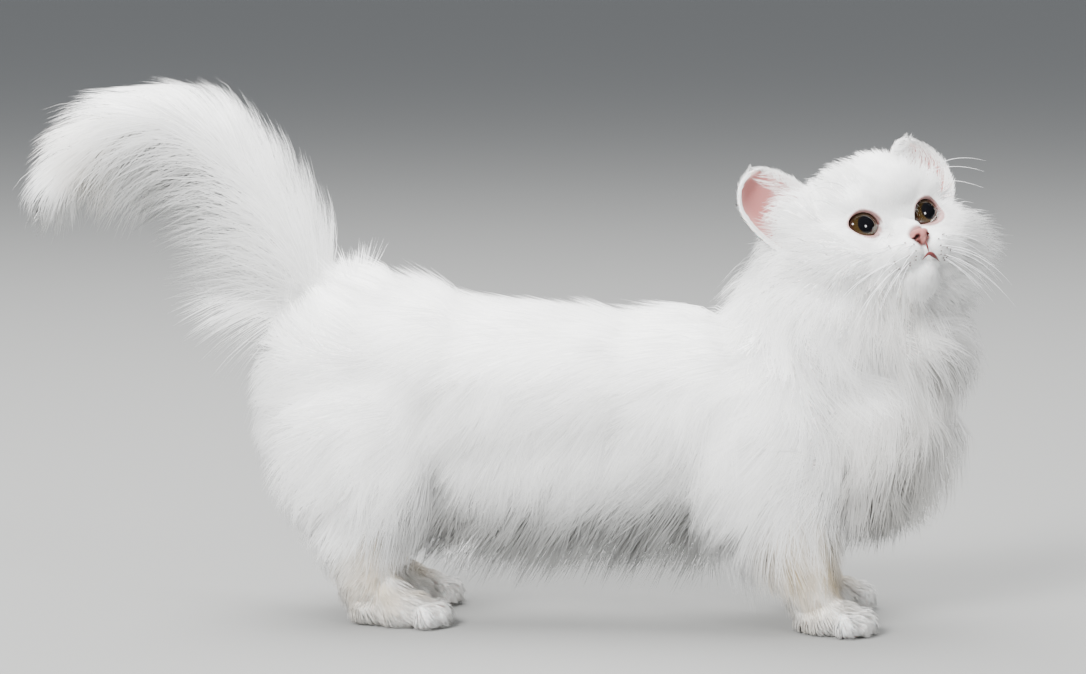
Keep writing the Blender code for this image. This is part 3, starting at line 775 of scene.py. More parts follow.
@dataclass(frozen=True)
class MarkingsAndShade:
    """The colours of the white coat, its stains and the shade painted on it, the same for skin and tufts."""

    plan: BodyPlan
    white: tuple = (0.955, 0.955, 0.94)
    # The tone of the stains, and of the shade painted under the chin, over the chest and at the wrists.
    cream: tuple = (0.52, 0.43, 0.30)

    def spots(self) -> list:
        """The middles, radii and strengths of the cream stains and of the patches of painted shade.

        Returns:
            One entry for each stain.
        """
        plan = self.plan
        # The tail's tip is stained; under the chin the cream is a stain with painted shade in it; low on the
        # chest, between the front legs, the coat is cream.
        found = [((-207, 0, 238), 24, 0.5), ((186, -20, 170), 27, 0.7), ((192, -10, 50), 30, 0.5)]
        # A wide faint patch over the chest is painted shade.
        found.append(((212, -12, 104), 66, 0.25))
        for side in Side:
            hind, front = side.value * plan.hind_stance / 2, side.value * plan.front_stance / 2
            found.append(((plan.hind_paw_x - 12, hind, 30), 32, 1.0))
            # At the wrists the cream is a stain with the shade under the forearm's fur painted in.
            found.append(((plan.front_paw_x - 14, front, 34), 38, 1.0))
            found.append(((plan.front_paw_x + 6, front, 4), 22, 0.4))
            found.append(((plan.hind_paw_x + 6, hind, 4), 22, 0.4))
        return found

    def colours(self, points: np.ndarray) -> np.ndarray:
        """The coat's colour at places in the drawing, with its stains and painted shade.

        Args:
            points: One place in each row.

        Returns:
            One row of red, green and blue for each place.
        """
        stain_and_shade = np.zeros(len(points))
        for middle, radius, strength in self.spots():
            gap = np.linalg.norm(points - np.array(middle), axis=1)
            # The cream patches hold both the stains and the painted shade.
            stain_and_shade = np.maximum(stain_and_shade, strength * (1 - ramp(0.3 * radius, 1.2 * radius, gap)))
        patches = 0.75 + 0.25 * drift(points, 9.0, 5)
        stain_and_shade = (stain_and_shade * patches)[:, None]
        shade = 0.06 + 0.07 * drift(points, 5.0, 9) + 0.05 * drift(points, 14.0, 3)
        lock = 1 - np.clip(shade, 0, 1)[:, None]
        return mix(np.array(self.white), np.array(self.cream), stain_and_shade) * lock


def drift(points: np.ndarray, scale: float, seed: int) -> np.ndarray:
    """Soft random values between about -1 and 1 that change over a distance.

    Args:
        points: One place in each row.
        scale: The distance in millimetres over which the values change.
        seed: Which of the random fields to take.

    Returns:
        One value for each place.
    """
    source = np.random.default_rng(seed)
    total = np.zeros(len(points))
    for _ in range(6):
        wave = source.normal(size=3)
        wave *= source.uniform(0.6, 1.6) / (scale * np.linalg.norm(wave))
        total += np.sin(points @ wave * math.pi + source.uniform(0, math.tau))
    return total / 2.6


class Form:
    """The distance from the flesh, kept on a grid, and the way out of it."""

    def __init__(self, masses: list, low: tuple, high: tuple, step: float) -> None:
        """Measure the masses on a grid.

        Args:
            masses: Balls and limbs.
            low: The grid's lowest corner.
            high: The grid's highest corner.
            step: The distance between the grid's places.
        """
        self.low, self.step = np.array(low, dtype=float), step
        axes = [np.arange(start, end + step, step) for start, end in zip(low, high)]
        spots = np.stack(np.meshgrid(*axes, indexing="ij"), axis=-1)
        distance = np.full(spots.shape[:3], NEVER)
        for mass in masses:
            distance = np.minimum(distance, mass.distance(spots))
        for axis in range(3):
            lower, upper = np.roll(distance, 1, axis), np.roll(distance, -1, axis)
            distance = (lower + 2 * distance + upper) / 4
        slopes = np.gradient(distance, step)
        self.values = np.stack([distance, *slopes], axis=-1).astype(np.float32)

    def look(self, points: np.ndarray) -> tuple:
        """The distance and the way out at places.

        Args:
            points: One place in each row.

        Returns:
            The distances, and one outward direction in each row.
        """
        most = np.array(self.values.shape[:3]) - 1.001
        spot = np.clip((points - self.low) / self.step, 0, most)
        cell = spot.astype(int)
        share = spot - cell
        total = np.zeros((len(points), 4))
        for corner in np.ndindex(2, 2, 2):
            weight = np.prod(np.where(corner, share, 1 - share), axis=1)
            x, y, z = (cell + corner).T
            total += weight[:, None] * self.values[x, y, z]
        return total[:, 0], unit(total[:, 1:])


class Skin:
    """The one skin over head, trunk, legs, paws and tail."""

    FLESH_VOXEL = 2.2
    PAW_VOXEL = 1.1
    FACE_VOXEL = 1.0
    SOCKET_VOXEL = 0.9
    GROOVE_VOXEL = 0.5
    DRUM_STEPS = 48
    # How deep each ring of the drum is in front of the eye, and how much wider than the lids.
    DRUM_RINGS = ((0.0, 0.0), (9.0, 0.0), (10.6, 0.3), (22.0, 3.6))
    PINK = np.array((0.34, 0.18, 0.17))

    def __init__(self, body: BodyPlan, head: HeadPlan, placement: Placement, markings_and_shade: MarkingsAndShade) -> None:
        """Keep the plans that the skin is made from."""
        self.body, self.head = body, head
        self.placement, self.markings_and_shade = placement, markings_and_shade

    def build(self) -> bpy.types.Object:
        """Blend the masses of the body, join paws and face to them, and paint the skin.

        Returns:
            The skin as one closed mesh.
        """
        flesh = self.body.trunk() + self.body.legs() + self.body.neck() + [Limb(self.body.tail)]
        skin = clay("skin", flesh, self.placement, self.FLESH_VOXEL, 24)
        skin = combine(skin, self.paws(), "UNION")
        skin = combine(skin, self.face(), "UNION")
        self.painted(skin)
        return skin

    def paws(self) -> bpy.types.Object:
        """The four paws, nearly flat underneath and clear of the floor.

        Returns:
            The paws, joined in one piece.
        """
        item = clay("paws", self.body.paws(), self.placement, self.PAW_VOXEL, 5)
        places = points_of(item.data)
        sole = 0.0008 + 0.0004 * np.sin(places[:, 0] * 900) ** 2
        places[:, 2] = np.maximum(places[:, 2], sole)
        item.data.vertices.foreach_set("co", places.ravel())
        return item

    def face(self) -> bpy.types.Object:
        """The head with its eye openings, mouth line and furrow.

        Returns:
            The head.
        """
        masses = self.head.masses() + self.head.lids()
        item = clay("face", masses, self.placement, self.FACE_VOXEL, 9)
        eyes, pose = self.head.eyes, self.head.pose
        for side in Side:
            hollow = Ball(tuple(eyes.middle(pose, side)), (eyes.radius + 0.2,) * 3)
            socket = clay("socket", [hollow], self.placement, self.SOCKET_VOXEL, 0)
            item = combine(item, socket, "DIFFERENCE")
            item = combine(item, self.opening(side), "DIFFERENCE")
        for line, radius in ((self.head.lips, 1.0), (self.head.furrow, 0.6)):
            groove = Limb(tuple((tuple(pose.place(spot)), radius) for spot in line))
            cut = clay("groove", [groove], self.placement, self.GROOVE_VOXEL, 2)
            item = combine(item, cut, "DIFFERENCE")
        return item

    def opening(self, side: Side) -> bpy.types.Object:
        """The almond drum that cuts one eye's opening, wider at the front than at the eye.

        Args:
            side: The side of the body.

        Returns:
            The drum.
        """
        eyes, pose, steps = self.head.eyes, self.head.pose, self.DRUM_STEPS
        verts = []
        for depth, spread in self.DRUM_RINGS:
            local = np.column_stack((np.full(steps, depth), eyes.outline(side, steps, spread)))
            places = eyes.middle(pose, side) + local @ eyes.axes(pose, side).T
            verts.extend(self.placement.metres(places))
        faces = [tuple(range(steps)), tuple(range(len(verts) - steps, len(verts)))]
        for low in range(0, len(verts) - steps, steps):
            for index in range(steps):
                one, after = low + index, low + (index + 1) % steps
                faces.append((one, after, after + steps, one + steps))
        return new_shape("opening", verts, [], faces)

    def painted(self, item: bpy.types.Object) -> None:
        """Paint the coat's colours, with their stains and painted shade, on the skin, and the bare pink of
        lids and nose.

        Args:
            item: The piece.
        """
        points = self.placement.drawing(points_of(item.data))
        local = self.head.pose.local(points)
        bare = np.zeros(len(points))
        for side in Side:
            near = self.head.eyes.near(self.head.pose, side, points)
            lid = 0.9 * (1 - ramp(0.92, 1.03, self.head.eyes.ring(near, 1.0)))
            bare = np.maximum(bare, lid * (near[:, 0] > 4.5))
        nose = np.linalg.norm(local - np.array(self.head.nose), axis=1)
        bare = np.maximum(bare, 1 - ramp(4.5, 7.0, nose))
        colours = self.markings_and_shade.colours(points)
        paint(item.data, "shade", mix(colours, self.PINK, bare[:, None]))


@dataclass
class Roots:
    """A coarse copy of a surface, from which the roots of tufts are drawn."""

    corners: np.ndarray
    normals: np.ndarray
    unwrap: np.ndarray
    areas: np.ndarray

    @classmethod
    def from_surface(cls, item: bpy.types.Object, placement: Placement, triangles: int) -> Roots:
        """Thin a copy of a surface, unwrap it and read its triangles.

        Args:
            item: The surface.
            placement: Where the drawing lies in the model's frame.
            triangles: About how many triangles to keep.

        Returns:
            The roots' surface, in the drawing.
        """
        copy = new_object("roots", item.data.copy())
        thin = copy.modifiers.new("thin", "DECIMATE")
        thin.ratio = min(1.0, triangles / max(1, len(copy.data.polygons) * 2))
        applied(copy)
        cut = copy.modifiers.new("triangles", "TRIANGULATE")
        cut.keep_custom_normals = False
        applied(copy)
        bpy.ops.object.select_all(action="DESELECT")
        copy.select_set(True)
        bpy.context.view_layer.objects.active = copy
        bpy.ops.object.mode_set(mode="EDIT")
        bpy.ops.mesh.select_all(action="SELECT")
        bpy.ops.uv.smart_project(angle_limit=math.radians(66), island_margin=0.002)
        bpy.ops.object.mode_set(mode="OBJECT")
        mesh = copy.data
        count = len(mesh.polygons)
        index = np.empty(count * 3, dtype=np.int32)
        mesh.polygons.foreach_get("vertices", index)
        unwrap = np.empty(count * 6)
        mesh.uv_layers.active.data.foreach_get("uv", unwrap)
        normals = np.empty(len(mesh.vertices) * 3)
        mesh.vertices.foreach_get("normal", normals)
        places = placement.drawing(points_of(mesh))
        corners = places[index].reshape(-1, 3, 3)
        across = np.cross(corners[:, 1] - corners[:, 0], corners[:, 2] - corners[:, 0])
        areas = np.linalg.norm(across, axis=1) / 2
        bpy.data.objects.remove(copy)
        return cls(corners, normals.reshape(-1, 3)[index].reshape(-1, 3, 3), unwrap.reshape(-1, 3, 2), areas)

    def middles(self) -> tuple:
        """The middle and the outward direction of each triangle."""
        return self.corners.mean(axis=1), unit(self.normals.mean(axis=1))

    def draw(self, weights: np.ndarray, count: int, source: np.random.Generator) -> tuple:
        """Draw roots at random, more where the weights are higher.

        Args:
            weights: One factor on its area for each triangle.
            count: How many roots.
            source: The random numbers.

        Returns:
            Places, outward directions and places on the unwrap.
        """
        chance = self.areas * weights
        faces = source.choice(len(chance), size=count, p=chance / chance.sum())
        first, second = np.sqrt(source.random(count)), source.random(count)
        shares = np.stack((1 - first, first * (1 - second), first * second), axis=1)[..., None]
        places = (self.corners[faces] * shares).sum(axis=1)
        outward = unit((self.normals[faces] * shares).sum(axis=1))
        return places, outward, (self.unwrap[faces] * shares).sum(axis=1)


@dataclass
class Growth:
    """How tufts grow from their roots, one row or one value for each tuft."""

    flow: np.ndarray
    length: np.ndarray
    width: np.ndarray
    lift: np.ndarray
    rise: np.ndarray
    cling: np.ndarray
    hug: np.ndarray
    droop: np.ndarray

    NUMBERS = ("length", "width", "lift", "rise", "cling", "hug", "droop")

    @classmethod
    def mixed(cls, parts: list, weights: np.ndarray) -> Growth:
        """Mix several ways of growing by weights that sum to one for each tuft.

        Args:
            parts: The ways of growing.
            weights: A column of weights for each of them.

        Returns:
            The mixture.
        """
        flow = sum(part.flow * weight[:, None] for part, weight in zip(parts, weights.T))
        numbers = {
            name: sum(getattr(part, name) * weight for part, weight in zip(parts, weights.T))
            for name in cls.NUMBERS
        }
        return cls(flow=flow, **numbers)

    @classmethod
    def joined(cls, parts: list) -> Growth:
        """The growths of several groups of tufts, one group after the other."""
        names = ("flow", *cls.NUMBERS)
        return cls(**{name: np.concatenate([getattr(part, name) for part in parts]) for name in names})


class Lie:
    """The lie, length and softness of the coat all over the cat."""

    def __init__(self, body: BodyPlan, head: HeadPlan) -> None:
        """Keep the plans, with the masses of each group."""
        self.body, self.head = body, head
        self.groups = {
            "trunk": body.trunk(), "neck": body.neck(), "tail": [Limb(body.tail)],
            "front": [body.front_leg(side) for side in Side],
            "hind": [body.hind_leg(side) for side in Side],
            "paws": body.paws(), "head": head.masses() + head.lids(),
        }

    def shares(self, points: np.ndarray) -> np.ndarray:
        """How much each place belongs to each group, one column for a group.

        Args:
            points: Places in the drawing, one a row.

        Returns:
            One row for each place.
        """
        gaps = []
        for masses in self.groups.values():
            gap = np.full(len(points), NEVER)
            for mass in masses:
                gap = np.minimum(gap, mass.distance(points))
            gaps.append(gap)
        gaps = np.stack(gaps, axis=1)
        closeness = np.exp(-(gaps - gaps.min(axis=1, keepdims=True)) / 4.0)
        return closeness / closeness.sum(axis=1, keepdims=True)

    def growth(self, points: np.ndarray, outward: np.ndarray) -> Growth:
        """The growth at places on the skin.

        Args:
            points: One place in each row.
            outward: The way out of the skin there.

        Returns:
            The growth of a tuft rooted at each place.
        """
        ways = (self.trunk, self.neck, self.tail, self.front, self.hind, self.paws, self.face)
        parts = [way(points, outward) for way in ways]
        return Growth.mixed(parts, self.shares(points))

    @staticmethod
    def way(points: np.ndarray, flow: np.ndarray, **numbers: float) -> Growth:
        """A growth whose numbers are the same all over, or given for each place."""
        full = {name: np.zeros(len(points)) + value for name, value in numbers.items()}
        return Growth(flow=unit(flow + np.zeros_like(points)), **full)

    def trunk(self, points: np.ndarray, outward: np.ndarray) -> Growth:
        """Back and flanks lie flat and backwards, and hang free under the belly.

        Args:
            points: Places in the drawing, one a row.
            outward: The way out of the skin at each place.

        Returns:
            How the tufts grow there.
        """
        x, z = points[:, 0], points[:, 2]
        under, flank = np.clip(-outward[:, 2], 0, 1), 1 - np.abs(outward[:, 2])
        low = np.maximum(under, flank * ramp(105, 55, z)) * ramp(-85, -50, x)
        saddle = np.exp(-((x + 12) / 22) ** 2) + 0.9 * np.exp(-((x - 86) / 22) ** 2)
        saddle -= 0.6 * np.exp(-((x - 48) / 18) ** 2)
        saddle *= np.clip(outward[:, 2], 0, 1)
        rear = np.clip(-outward[:, 0], 0, 1) * ramp(-70, -100, x)
        seat, shank = rear * ramp(70, 110, z), rear * ramp(110, 70, z)
        notch, dock = rear * np.exp(-((z - 132) / 8) ** 2), rear * ramp(142, 158, z)
        crest = ramp(-45, -85, x) * ramp(0.1, 0.75, outward[:, 2])
        chest = ramp(135, 178, x)
        elbow = ramp(70, 100, x) * ramp(150, 130, x) * low
        down = 0.25 + 1.0 * flank + 1.2 * under
        flow = np.stack((1.35 * chest - 1, 0 * x, -down - 1.3 * chest), axis=1)
        flow += seat[:, None] * np.array((-0.4, 0, 0.35)) + shank[:, None] * np.array((0.4, 0, -1.2))
        flow += crest[:, None] * np.array((0.35, 0, 2.0))
        hang = low * (1 - chest)
        free = np.clip(np.maximum(hang, np.maximum(seat, 0.25 * crest)), 0, 1)
        return self.way(
            points, flow,
            length=(
                34 + 8 * flank + 20 * hang + 12 * elbow + 8 * chest - 8 * seat - 10 * shank
                + 3 * saddle - 8 * notch + 24 * dock - 5 * crest
            ),
            width=0.56 + 0.08 * low,
            lift=(
                19 - 2 * flank + 13 * chest - 5 * seat - 8 * shank + 6 * hang - 5 * crest
                + 8 * saddle + 16 * dock
            ),
            rise=(
                0.58 - 0.08 * flank + 0.3 * hang - 0.22 * shank + 0.35 * chest - 0.36 * crest
                + 0.2 * saddle
            ),
            cling=0.38 - 0.3 * np.maximum(free, 0.7 * chest), hug=0.5 * (1 - free), droop=0.1 + 0.35 * hang,
        )

    def neck(self, points: np.ndarray, outward: np.ndarray) -> Growth:
        """The nape lies backwards, and the chest hangs in a bib.

        Args:
            points: Places in the drawing, one a row.
            outward: The way out of the skin at each place.

        Returns:
            How the tufts grow there.
        """
        nape = ramp(0.1, 0.7, outward[:, 2]) * ramp(175, 150, points[:, 0])
        throat = np.exp(-((points[:, 2] - 150) / 18) ** 2) * np.clip(outward[:, 0], 0, 1)
        flow = np.stack((
            0.25 * outward[:, 0] * (1 - nape) - 1.2 * nape, 0.15 * outward[:, 1], -1 + 0.6 * nape,
        ), axis=1)
        return self.way(
            points, flow, length=42 - 8 * nape, width=0.62, lift=31 - 13 * nape - 12 * throat,
            rise=0.88 - 0.28 * nape - 0.35 * throat, cling=0.25, hug=0.2 + 0.3 * nape, droop=0.2,
        )

    def tail(self, points: np.ndarray, outward: np.ndarray) -> Growth:
        """The plume lies along the tail, short above and in a long fringe below.

        Args:
            points: Places in the drawing, one a row.
            outward: The way out of the skin at each place.

        Returns:
            How the tufts grow there.
        """
        line = np.array([spot for spot, _ in self.body.tail], dtype=float)
        near = ((points[:, None, :] - line[None]) ** 2).sum(axis=2).argmin(axis=1)
        ahead = unit(line[np.minimum(near + 1, len(line) - 1)] - line[np.maximum(near - 1, 0)])
        outer = np.stack((ahead[:, 2], 0 * near, -ahead[:, 0]), axis=1)
        below = np.clip(0.35 - (outward * outer).sum(axis=1), 0, 1.0)
        base, tip, end = 1 - ramp(0, 2.5, near), ramp(5.0, 7.2, near), ramp(5.5, 7.5, near)
        arch = np.exp(-((near - 1.4) / 2.1) ** 2) * (1 - below)
        plume = 8 * np.exp(-((near - 4.6) / 1.2) ** 2)
        flow = ahead + np.array((-0.1, 0, -0.45)) * (below * (1 - tip))[:, None]
        flow += np.array((-0.1, 0, -0.75)) * (below * base)[:, None]
        return self.way(
            points, flow, length=40 + (14 + 16 * base - 20 * tip + plume) * below + 4 * arch - 9 * end,
            width=0.58, lift=30 + (30 - 28 * tip + plume) * below + 20 * arch - 13 * end * (1 - below),
            rise=0.9 + (0.25 - 0.3 * tip) * below - 0.15 * end * (1 - below), cling=0.24 - 0.2 * below,
            hug=0.4 * (1 - below), droop=0.05 + (0.12 - 0.07 * tip) * below,
        )

    def front(self, points: np.ndarray, outward: np.ndarray) -> Growth:
        """The front legs' fur lies down and a little back.

        Args:
            points: Places in the drawing, one a row.
            outward: The way out of the skin at each place.

        Returns:
            How the tufts grow there.
        """
        high = ramp(16, 62, points[:, 2])
        rear = np.clip(-outward[:, 0], 0, 1)
        return self.way(
            points, np.array((-0.25, 0, -1.0)), length=13 + 13 * high + 6 * rear * high, width=0.52,
            lift=6 + 6 * high + 3 * rear, rise=0.55 + 0.15 * rear, cling=0.28, hug=0.25, droop=0.1,
        )

    def hind(self, points: np.ndarray, outward: np.ndarray) -> Growth:
        """The hind legs' fur lies down, and backwards behind the thigh.

        Args:
            points: Places in the drawing, one a row.
            outward: The way out of the skin at each place.

        Returns:
            How the tufts grow there.
        """
        high = ramp(14, 62, points[:, 2])
        rear = np.clip(-outward[:, 0], 0, 1)
        flow = np.stack((-0.4 - 0.1 * rear, 0 * rear, -1 + 0 * rear), axis=1)
        return self.way(
            points, flow, length=13 + 10 * high + 4 * rear * high, width=0.55,
            lift=5 + 4 * high + 2 * rear, rise=0.4 + 0.15 * rear, cling=0.35, hug=0.4, droop=0.1,
        )

    def paws(self, points: np.ndarray, outward: np.ndarray) -> Growth:
        """The paws' short fur lies towards the toes.

        Args:
            points: Places in the drawing, one a row.
            outward: The way out of the skin at each place.

        Returns:
            How the tufts grow there.
        """
        rear, high = np.clip(-outward[:, 0], 0, 1), ramp(6, 22, points[:, 2])
        flow = np.stack((1 - 1.5 * rear, 0.4 * outward[:, 1], -0.7 - 0.5 * rear), axis=1)
        return self.way(
            points, flow, length=5.5 + 4.5 * high + 3 * rear, width=0.42, lift=2.6 + 1.4 * high,
            rise=0.5, cling=0.35, hug=0.3, droop=0.05,
        )

    def face(self, points: np.ndarray, outward: np.ndarray) -> Growth:
        """Short fur runs from the nose over the face, and lengthens into the ruff.

        Args:
            points: Places in the drawing, one a row.
            outward: The way out of the skin at each place.

        Returns:
            How the tufts grow there.
        """
        pose = self.head.pose
        local = pose.local(points)
        facing = outward @ pose.turn()
        away = local - np.array((34.0, 0, -15))
        reach = np.linalg.norm(away, axis=1)
        wide = np.abs(local[:, 1])
        crown = ramp(20, 34, local[:, 2])
        cheek = ramp(16, 40, wide) * ramp(16, -6, local[:, 2])
        ruff = np.maximum(ramp(6, -18, local[:, 0]), ramp(28, 44, wide)) * ramp(20, -4, local[:, 2])
        ruff = np.maximum(ruff, ramp(-30, -42, local[:, 2]) * ramp(14, 2, local[:, 0]))
        nape = ramp(-10, -34, local[:, 0])
        flow = unit(away)
        flow[:, 2] -= 0.45 * cheek + 0.5 * nape
        sideways = np.clip(local[:, 1] / 36, -1, 1)
        deep = ramp(2, -28, local[:, 2])
        high = ramp(-26, 4, local[:, 2]) * ramp(0, 18, local[:, 1])
        fan = np.stack((
            -0.4 - 0.5 * high, (1.15 - 0.5 * high) * sideways,
            -0.35 - 0.5 * deep - 0.5 * high + 0.2 * facing[:, 2],
        ), axis=1)
        flow = mix(flow, fan, ruff[:, None])
        chin = ramp(-27, -33, local[:, 2]) * ramp(12, 18, local[:, 0])
        behind = ramp(2, -20, local[:, 0])
        temple = ramp(30, 20, np.linalg.norm(np.abs(local) - (10, 32, 22), axis=1))
        crown = np.maximum(crown, 0.9 * temple)
        length = 2.6 + 4.0 * ramp(12, 34, reach) + 4.0 * ramp(30, 56, reach)
        length += 3 * crown + 6 * cheek + 5 * temple
        low = ramp(-12, -28, local[:, 2]) * ramp(4, 20, local[:, 1])
        long = 36 - 4 * deep + 8 * behind - 22 * high - 18 * low
        length = length * (1 - ruff) + long * ruff + 6 * chin + 8 * nape * (1 - ruff)
        close, aside = self.round_eyes(points)
        flow += 1.6 * close[:, None] * aside
        return self.way(
            points, flow @ pose.turn().T, length=length * (1 - 0.45 * close),
            width=0.30 + 0.08 * ramp(15, 50, reach) + 0.14 * ruff,
            lift=(
                0.6 + 0.25 * length + 2 * crown + 4 * temple
                + (12 + 12 * behind - 15 * high - 8 * low) * ruff
            ),
            rise=(
                0.26 + 0.45 * crown + 0.25 * cheek + 0.3 * chin
                + (0.42 + 0.25 * behind - 0.3 * high) * ruff
            ),
            cling=0.5 - 0.25 * crown - 0.3 * ruff, hug=0.5 * (1 - ruff) * (1 - 0.7 * crown),
            droop=0.06 * cheek + 0.1 * ruff,
        )

    def round_eyes(self, points: np.ndarray) -> tuple:
        """How close places are to an eye, and the way from that eye's middle on the head.

        Args:
            points: Places in the drawing, one a row.

        Returns:
            Both of them.
        """
        pose, eyes = self.head.pose, self.head.eyes
        close, aside = np.zeros(len(points)), np.zeros_like(points)
        for side in Side:
            near = eyes.near(pose, side, points)
            here = ramp(2.1, 1.2, eyes.ring(near, 0.0)) * (near[:, 0] > 0)
            close = close + here
            away = unit(near * (0, 1, 1)) @ eyes.axes(pose, side).T @ pose.turn()
            aside = aside + here[:, None] * away
        return close, aside


@dataclass(frozen=True)
class Piece:
    """One piece of the coat: its share of tufts, of how many lengths, how they gather, and the shade painted
    at their roots.
    """

    count: int
    rings: int
    clump: float
    gather: float
    swirl: float = 0.2
    # How bright a tuft's root is against its tip: the shade painted deep in the coat.
    depth: float = 0.8


# The sixth number of a piece, where it is given, is how bright its tufts' roots are: painted shade deep in
# the coat.
COAT = {
    Region.BACK: Piece(14500, 2, 16, 0.08, 0.10),
    Region.FLANK_LEFT: Piece(9500, 3, 22, 0.28, 0.4, 0.72),
    Region.FLANK_RIGHT: Piece(9500, 3, 22, 0.28, 0.4, 0.72),
    Region.BELLY: Piece(5200, 3, 20, 0.4, 0.4, 0.55),
    Region.RUMP: Piece(6300, 3, 18, 0.42, 0.35, 0.72),
    Region.CHEST: Piece(10000, 3, 24, 0.36, 0.85, 0.55),
    Region.TAIL: Piece(7400, 4, 14, 0.22, 0.25, 0.72),
    Region.LEGS: Piece(6000, 3, 12, 0.26, 0.5, 0.6),
    Region.PAWS: Piece(8500, 2, 5, 0.2),
    Region.RUFF: Piece(8800, 3, 14, 0.24, 0.4, 0.62),
    Region.FACE: Piece(16500, 2, 7, 0.1, 0.2, 0.85),
}


class Tufts:
    """Tapered closed tufts that are grown over a form and joined in one mesh."""

    # The share of its width that a tuft has at each ring, by how many rings it has.
    PROFILES = {2: (0.8, 1.0), 3: (0.75, 1.0, 0.62), 4: (0.7, 1.0, 0.85, 0.5)}
    PATCH = 0.003
    ROOT_DEPTH = 0.6
    FINER = 3
    LOWEST = 0.5

    def __init__(
        self, form: Form | None, placement: Placement, source: np.random.Generator,
        soft: float = 0.82, depth: float = 0.9,
    ) -> None:
        """Keep what the tufts grow over and how they are drawn.

        Args:
            form: The flesh under the tufts, or none where they grow freely.
            placement: Where the drawing lies in the model's frame.
            source: The random numbers.
            soft: How much a tuft is shaded like the surface under it.
            depth: How bright the colour is at the root, where one is as bright as the tip: shade painted
                deep in the coat.
        """
        self.form, self.placement, self.source = form, placement, source
        self.soft, self.depth = soft, depth

    def grown(self, places: np.ndarray, outward: np.ndarray, growth: Growth, rings: int) -> np.ndarray:
        """Grow the middle line of each tuft.

        Args:
            places: The roots.
            outward: The way out at the roots.
            growth: How each tuft grows.
            rings: How many lengths each tuft has.

        Returns:
            The places along each tuft, from its root to its tip.
        """
        count = len(places)
        length = growth.length * self.source.uniform(0.72, 1.12, count)
        layer = 1 - self.source.random(count) ** 1.3
        lift = growth.lift * (0.45 + 0.55 * layer)
        growth.width = growth.width * (0.7 + 0.6 * (1 - layer))
        rise = growth.rise * self.source.uniform(0.6, 1.35, count)
        lie = unit(growth.flow - outward * (growth.flow * outward).sum(axis=1, keepdims=True))
        heading = lie * np.cos(rise)[:, None] + outward * np.sin(rise)[:, None]
        spot = places - outward * self.ROOT_DEPTH
        start = self.form.look(places)[0] if self.form else np.zeros(count)
        line, steps = [spot.copy()], rings * self.FINER
        for step in range(1, steps + 1):
            share = step / steps
            if self.form:
                height, out = self.form.look(spot)
                height = height - start * (1 - share)
            else:
                height, out = np.full(count, NEVER), outward
            lie = unit(growth.flow - out * (growth.flow * out).sum(axis=1, keepdims=True))
            cling, droop = growth.cling[:, None] * 0.5, growth.droop[:, None] * 0.35 * share
            heading = unit(heading * (1 - cling) + lie * cling + np.array((0, 0, -1)) * droop)
            spot = spot + heading * (length / steps)[:, None]
            if self.form:
                over = height - lift * share ** 0.8
                low = np.maximum(0.3 + 0.25 * lift * share - height, 0)
                move = low * 0.6 - np.maximum(over, 0) * growth.hug * 0.35
                spot = spot + out * move[:, None]
            spot[:, 2] = np.maximum(spot[:, 2], self.LOWEST)
            if step % self.FINER == 0:
                line.append(spot.copy())
        return np.stack(line, axis=1)

    def gathered(self, lines: np.ndarray, per_clump: float, pull: float) -> np.ndarray:
        """Draw the tufts of each clump together towards their tips.

        Args:
            lines: The places along each tuft.
            per_clump: How many tufts a clump holds.
            pull: How strongly the tips are drawn together.

        Returns:
            The changed places.
        """
        count, steps = lines.shape[:2]
        leaders = self.source.choice(count, max(1, int(count / per_clump)), replace=False)
        tree = kdtree.KDTree(len(leaders))
        for index, leader in enumerate(leaders):
            tree.insert(lines[leader, 0], index)
        tree.balance()
        nearest = np.array([leaders[tree.find(spot)[1]] for spot in lines[:, 0]])
        tightness = pull * self.source.uniform(0.5, 1.3, count)[nearest]
        tightness = np.clip(tightness * self.source.uniform(0.6, 1.1, count), 0, 0.95)
        share = np.linspace(0, 1, steps)
        offset = (lines[:, :1] - lines[nearest][:, :1]) * (1 - 0.85 * share)[None, :, None]
        hold = tightness[:, None, None] * (share ** 1.3)[None, :, None]
        return mix(lines, lines[nearest] + offset, hold)

    def rounded(self, lines: np.ndarray, outward: np.ndarray, width: np.ndarray) -> tuple:
        """Lay three-sided rings along each tuft's line, with its tip last.

        Args:
            lines: The places along each tuft.
            outward: The way out at each root.
            width: Each tuft's width.

        Returns:
            The vertices of each tuft and the directions that they are shaded by.
        """
        count, steps = lines.shape[:2]
        rings = steps - 1
        along = unit(np.gradient(lines, axis=1))[:, :rings]
        side = unit(np.cross(along, outward[:, None, :] + 0 * along))
        over = np.cross(side, along)
        twist = self.source.uniform(-0.5, 0.5, count)[:, None, None]
        side, over = (
            side * np.cos(twist) + over * np.sin(twist), over * np.cos(twist) - side * np.sin(twist),
        )
        half = (width[:, None] * np.array(self.PROFILES[rings]))[..., None] / 2
        middle = lines[:, :rings, None, :]
        ring = np.stack((side * half, over * half * 0.5, -side * half), axis=2) + middle
        verts = np.concatenate((ring.reshape(count, rings * 3, 3), lines[:, -1:]), axis=1)
        away = outward[:, None] + 0 * lines
        if self.form:
            away = self.form.look(lines.reshape(-1, 3))[1].reshape(lines.shape)
        own = unit(mix(unit(ring - middle), away[:, :rings, None, :], self.soft))
        facing = np.concatenate((own.reshape(count, rings * 3, 3), away[:, -1:]), axis=1)
        return verts, facing

